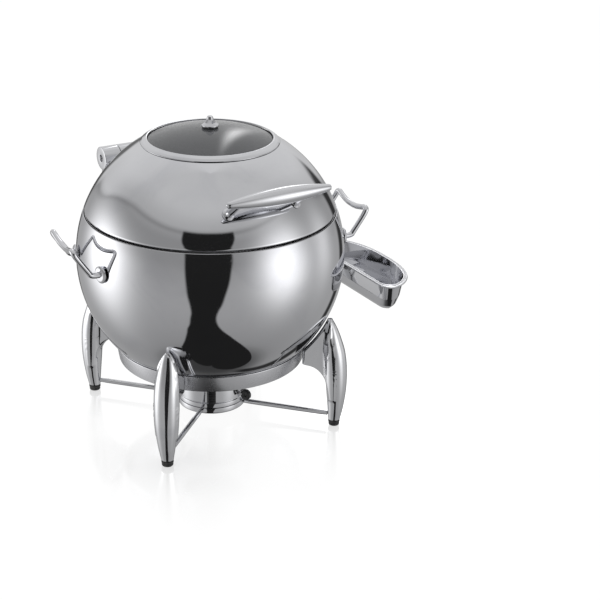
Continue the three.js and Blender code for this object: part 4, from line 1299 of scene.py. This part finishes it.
# ---- lid ----
LID_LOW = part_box("lid_shell")[0].z
WINDOW_R = 87 * MM
PANE_R = 251 * MM  # the pane is flatter than the ball
PANE_THICK, PANE_HOLE_R = 4 * MM, 3.5 * MM
SEAL_DEEP = 5 * MM


class KETTLE_OT_lid(Operator):
    """The upper half of the ball with its round window"""
    bl_idname = "kettle.lid"
    bl_label = "Build the lid"

    def execute(self, context):
        wall = sizes().sheet
        edge_r = size("lid_shell").x / 2
        seam = LID_LOW - CZ
        hole = WINDOW_R + 3 * MM
        window_up = math.sqrt(BALL_R ** 2 - hole ** 2)
        inside_up = math.sqrt((BALL_R - wall) ** 2 - hole ** 2)
        turn = sizes().lid_turn
        outer = ball_arc(BALL_R, seam + turn, window_up, 72)
        inner = ball_arc(BALL_R - wall, inside_up, seam + 7 * MM, 40)
        bottom = rounded([(edge_r - 8 * MM, LID_LOW + wall), (edge_r - 8 * MM, LID_LOW, 0.0003),
                          (outer[0][0] - 0.5 * MM, LID_LOW, 0.0014), outer[0]], 0.001, closed=False, steps=6)
        profile = [*bottom[:-1], *outer, *inner, (edge_r - wall - 2 * MM, LID_LOW + wall)]
        shell = lathe("steel_lid", profile, smooth_angle=60)
        settle(on_axis(shell), "mirror", "lid", "lid_shell")

        over = BALL_R + 0.8 * MM
        out_r = round_size("window_ring")[2]

        def at(r, ball):
            return r, CZ + math.sqrt(ball ** 2 - r ** 2)

        ring = turned("window_trim", [
            (*at(out_r, over), 0.0002), (*at(out_r - 0.7 * MM, over + 0.8 * MM), 0.0012),
            (*at(out_r - 3.4 * MM, over + 1.5 * MM), 0.004),
            (*at(WINDOW_R + 1.6 * MM, over + 1.6 * MM), 0.0016),
            (*at(WINDOW_R, over + 0.5 * MM), 0.0006), (*at(WINDOW_R, over), 0.0002)])
        settle(on_axis(ring), "mirror", "lid", "window_ring")

        out_g = round_size("window_gasket")[2]
        in_g = WINDOW_R + 0.4 * MM
        deep = BALL_R - SEAL_DEEP
        seal = turned("window_seal", [at(out_g, BALL_R), at(out_g, deep), at(in_g, deep), at(in_g, BALL_R)],
                      0.0004)
        settle(on_axis(seal), "rubber", "lid", "window_gasket")

        high, edge_r = round_size("window_glass")[1:]
        centre_z = high - math.sqrt(PANE_R ** 2 - PANE_HOLE_R ** 2)
        across = [PANE_HOLE_R + (edge_r - PANE_HOLE_R) * i / 32 for i in range(33)]

        def up(r, ball):
            return r, centre_z + math.sqrt(ball ** 2 - r ** 2)

        pane = lathe("window_pane", [*(up(r, PANE_R) for r in reversed(across)),
                                     *(up(r, PANE_R - PANE_THICK) for r in across)], smooth_angle=50)
        settle(on_axis(pane), "glass", "lid", "window_glass")
        return {"FINISHED"}


class KETTLE_OT_vent(Operator):
    """The steam vent in the middle of the window"""
    bl_idname = "kettle.vent"
    bl_label = "Build the vent"

    def execute(self, context):
        low, high, r = round_size("vent_washer")
        washer = turned("vent_seal", [(3.3 * MM, low), (r, low, 0.0005), (r - 0.5 * MM, high, 0.0005),
                                      (3.3 * MM, high)], 0.0003, MEDIUM)
        settle(on_axis(washer), "rubber", "lid", "vent_washer")

        foot = high + 0.3 * MM
        low, high, r = round_size("vent_knob")
        tall = high - foot
        bell = turned("vent_bell", [
            (0, low, 0), (3 * MM, low, 0.0004), (3 * MM, foot, 0.0003), (r, foot, 0.0004),
            (r, foot + 0.12 * tall, 0.0008), (r * 0.66, foot + 0.36 * tall, 0.002),
            (r * 0.42, foot + 0.7 * tall, 0.002),
            (r * 0.3, high, 0.0012), (0, high, 0)], segments=MEDIUM, steps=6)
        cut(bell, put(round_bar(1.4 * MM, 0.03, 24), (0, 0, foot + 0.45 * tall), about((1, 0, 0), 90)))
        settle(on_axis(bell), "mirror", "vent", "vent_knob")

        low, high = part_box("vent_nut")
        bore, across = 3.8 * MM, 6.5 * MM
        nut = lathe("vent_hexagon", [(bore, low.z), (across, low.z), (across, high.z), (bore, high.z)], 6,
                    smooth_angle=20)
        settle(on_axis(nut), "satin", "vent", "vent_nut")
        return {"FINISHED"}


GRIP_ASIDE = 7 * MM  # grip's middle to the right of the ball's axis
POST_APART = 100 * MM
GRIP_UP = 37.5  # how steeply the handle stands out from the ball, degrees above level
GRIP_HALF, GRIP_OFF = 79 * MM, 36 * MM  # half its length, its middle line above the ball
GRIP_END, GRIP_SWELL = 3.5, 8.35  # radius at the ends and what the middle adds, millimetres


class KETTLE_OT_lid_handle(Operator):
    """The spindle grip on the lid and its two posts"""
    bl_idname = "kettle.lid_handle"
    bl_label = "Build the lid handle"

    def execute(self, context):
        tip = about((1, 0, 0), 90 - GRIP_UP)
        half, off = GRIP_HALF, BALL_R + GRIP_OFF

        def thick(t):
            return (GRIP_END + GRIP_SWELL * max(math.cos(t * math.pi / 2), 0) ** 0.85) * MM

        profile = [(0, -half)]
        for i in range(65):
            t = -1 + i / 32
            round_off = min((1 - abs(t)) * half / (GRIP_END * MM), 1)
            profile.append((thick(t) * math.sqrt(max(1 - (1 - round_off) ** 2, 0.02)), t * half))
        profile.append((0, half))
        grip = lathe("lid_grip", profile, MEDIUM, False, 50)
        put(grip, (GRIP_ASIDE, 0, off), ALONG_X)
        put(grip, CENTRE, tip)
        settle(grip, "grip", "lid", "lid_handle_grip")

        r = sizes().post
        for side, s in (("left", -1), ("right", 1)):
            x = s * POST_APART / 2
            base = math.sqrt(BALL_R ** 2 - x ** 2)
            top = off - math.sqrt(thick((x - GRIP_ASIDE) / half) ** 2 - r ** 2)
            post = turned("post", [
                (0, base - 16 * MM, 0), (9 * MM, base - 16 * MM, 0), (9 * MM, base + 0.5 * MM, 0.0015),
                (r + 1.2 * MM, base + 3.4 * MM, 0.003), (r, base + 8 * MM, 0.003), (r, top, 0), (0, top, 0)],
                segments=SMALL)
            put(post, (x, 0, 0))
            put(post, CENTRE, tip)
            post.name = f"grip_post_{side}"
            hollowed(post, 0.7)
            settle(post, "mirror", "lid", f"lid_handle_post_{side}")
        return {"FINISHED"}


class KETTLE_PT_panel(Panel):
    bl_label = "Soup kettle"
    bl_idname = "KETTLE_PT_panel"
    bl_space_type = "VIEW_3D"
    bl_region_type = "UI"
    bl_category = "Kettle"

    def draw(self, context):
        for settings in (sizes(), colors(), studio()):
            box = self.layout.box()
            for name in settings.__annotations__:
                box.prop(settings, name)
        for operator in STEPS:
            self.layout.operator(operator.bl_idname)


STEPS = (KETTLE_OT_studio, KETTLE_OT_stand, KETTLE_OT_burner, KETTLE_OT_bowl, KETTLE_OT_side_handles,
         KETTLE_OT_dish, KETTLE_OT_hinge, KETTLE_OT_lid, KETTLE_OT_vent, KETTLE_OT_lid_handle)
SETTINGS = (KettleSizes, KettleColors, StudioSettings)


def register():
    for cls in (*SETTINGS, *STEPS, KETTLE_PT_panel):
        bpy.utils.register_class(cls)
    bpy.types.Scene.kettle_sizes = PointerProperty(type=KettleSizes)
    bpy.types.Scene.kettle_colors = PointerProperty(type=KettleColors)
    bpy.types.Scene.kettle_studio = PointerProperty(type=StudioSettings)


def unregister():
    del bpy.types.Scene.kettle_studio, bpy.types.Scene.kettle_colors, bpy.types.Scene.kettle_sizes
    for cls in reversed((*SETTINGS, *STEPS, KETTLE_PT_panel)):
        bpy.utils.unregister_class(cls)


def main():
    register()
    for step in STEPS:
        family, name = step.bl_idname.split(".")
        getattr(getattr(bpy.ops, family), name)()


if __name__ == "__main__":
    main()
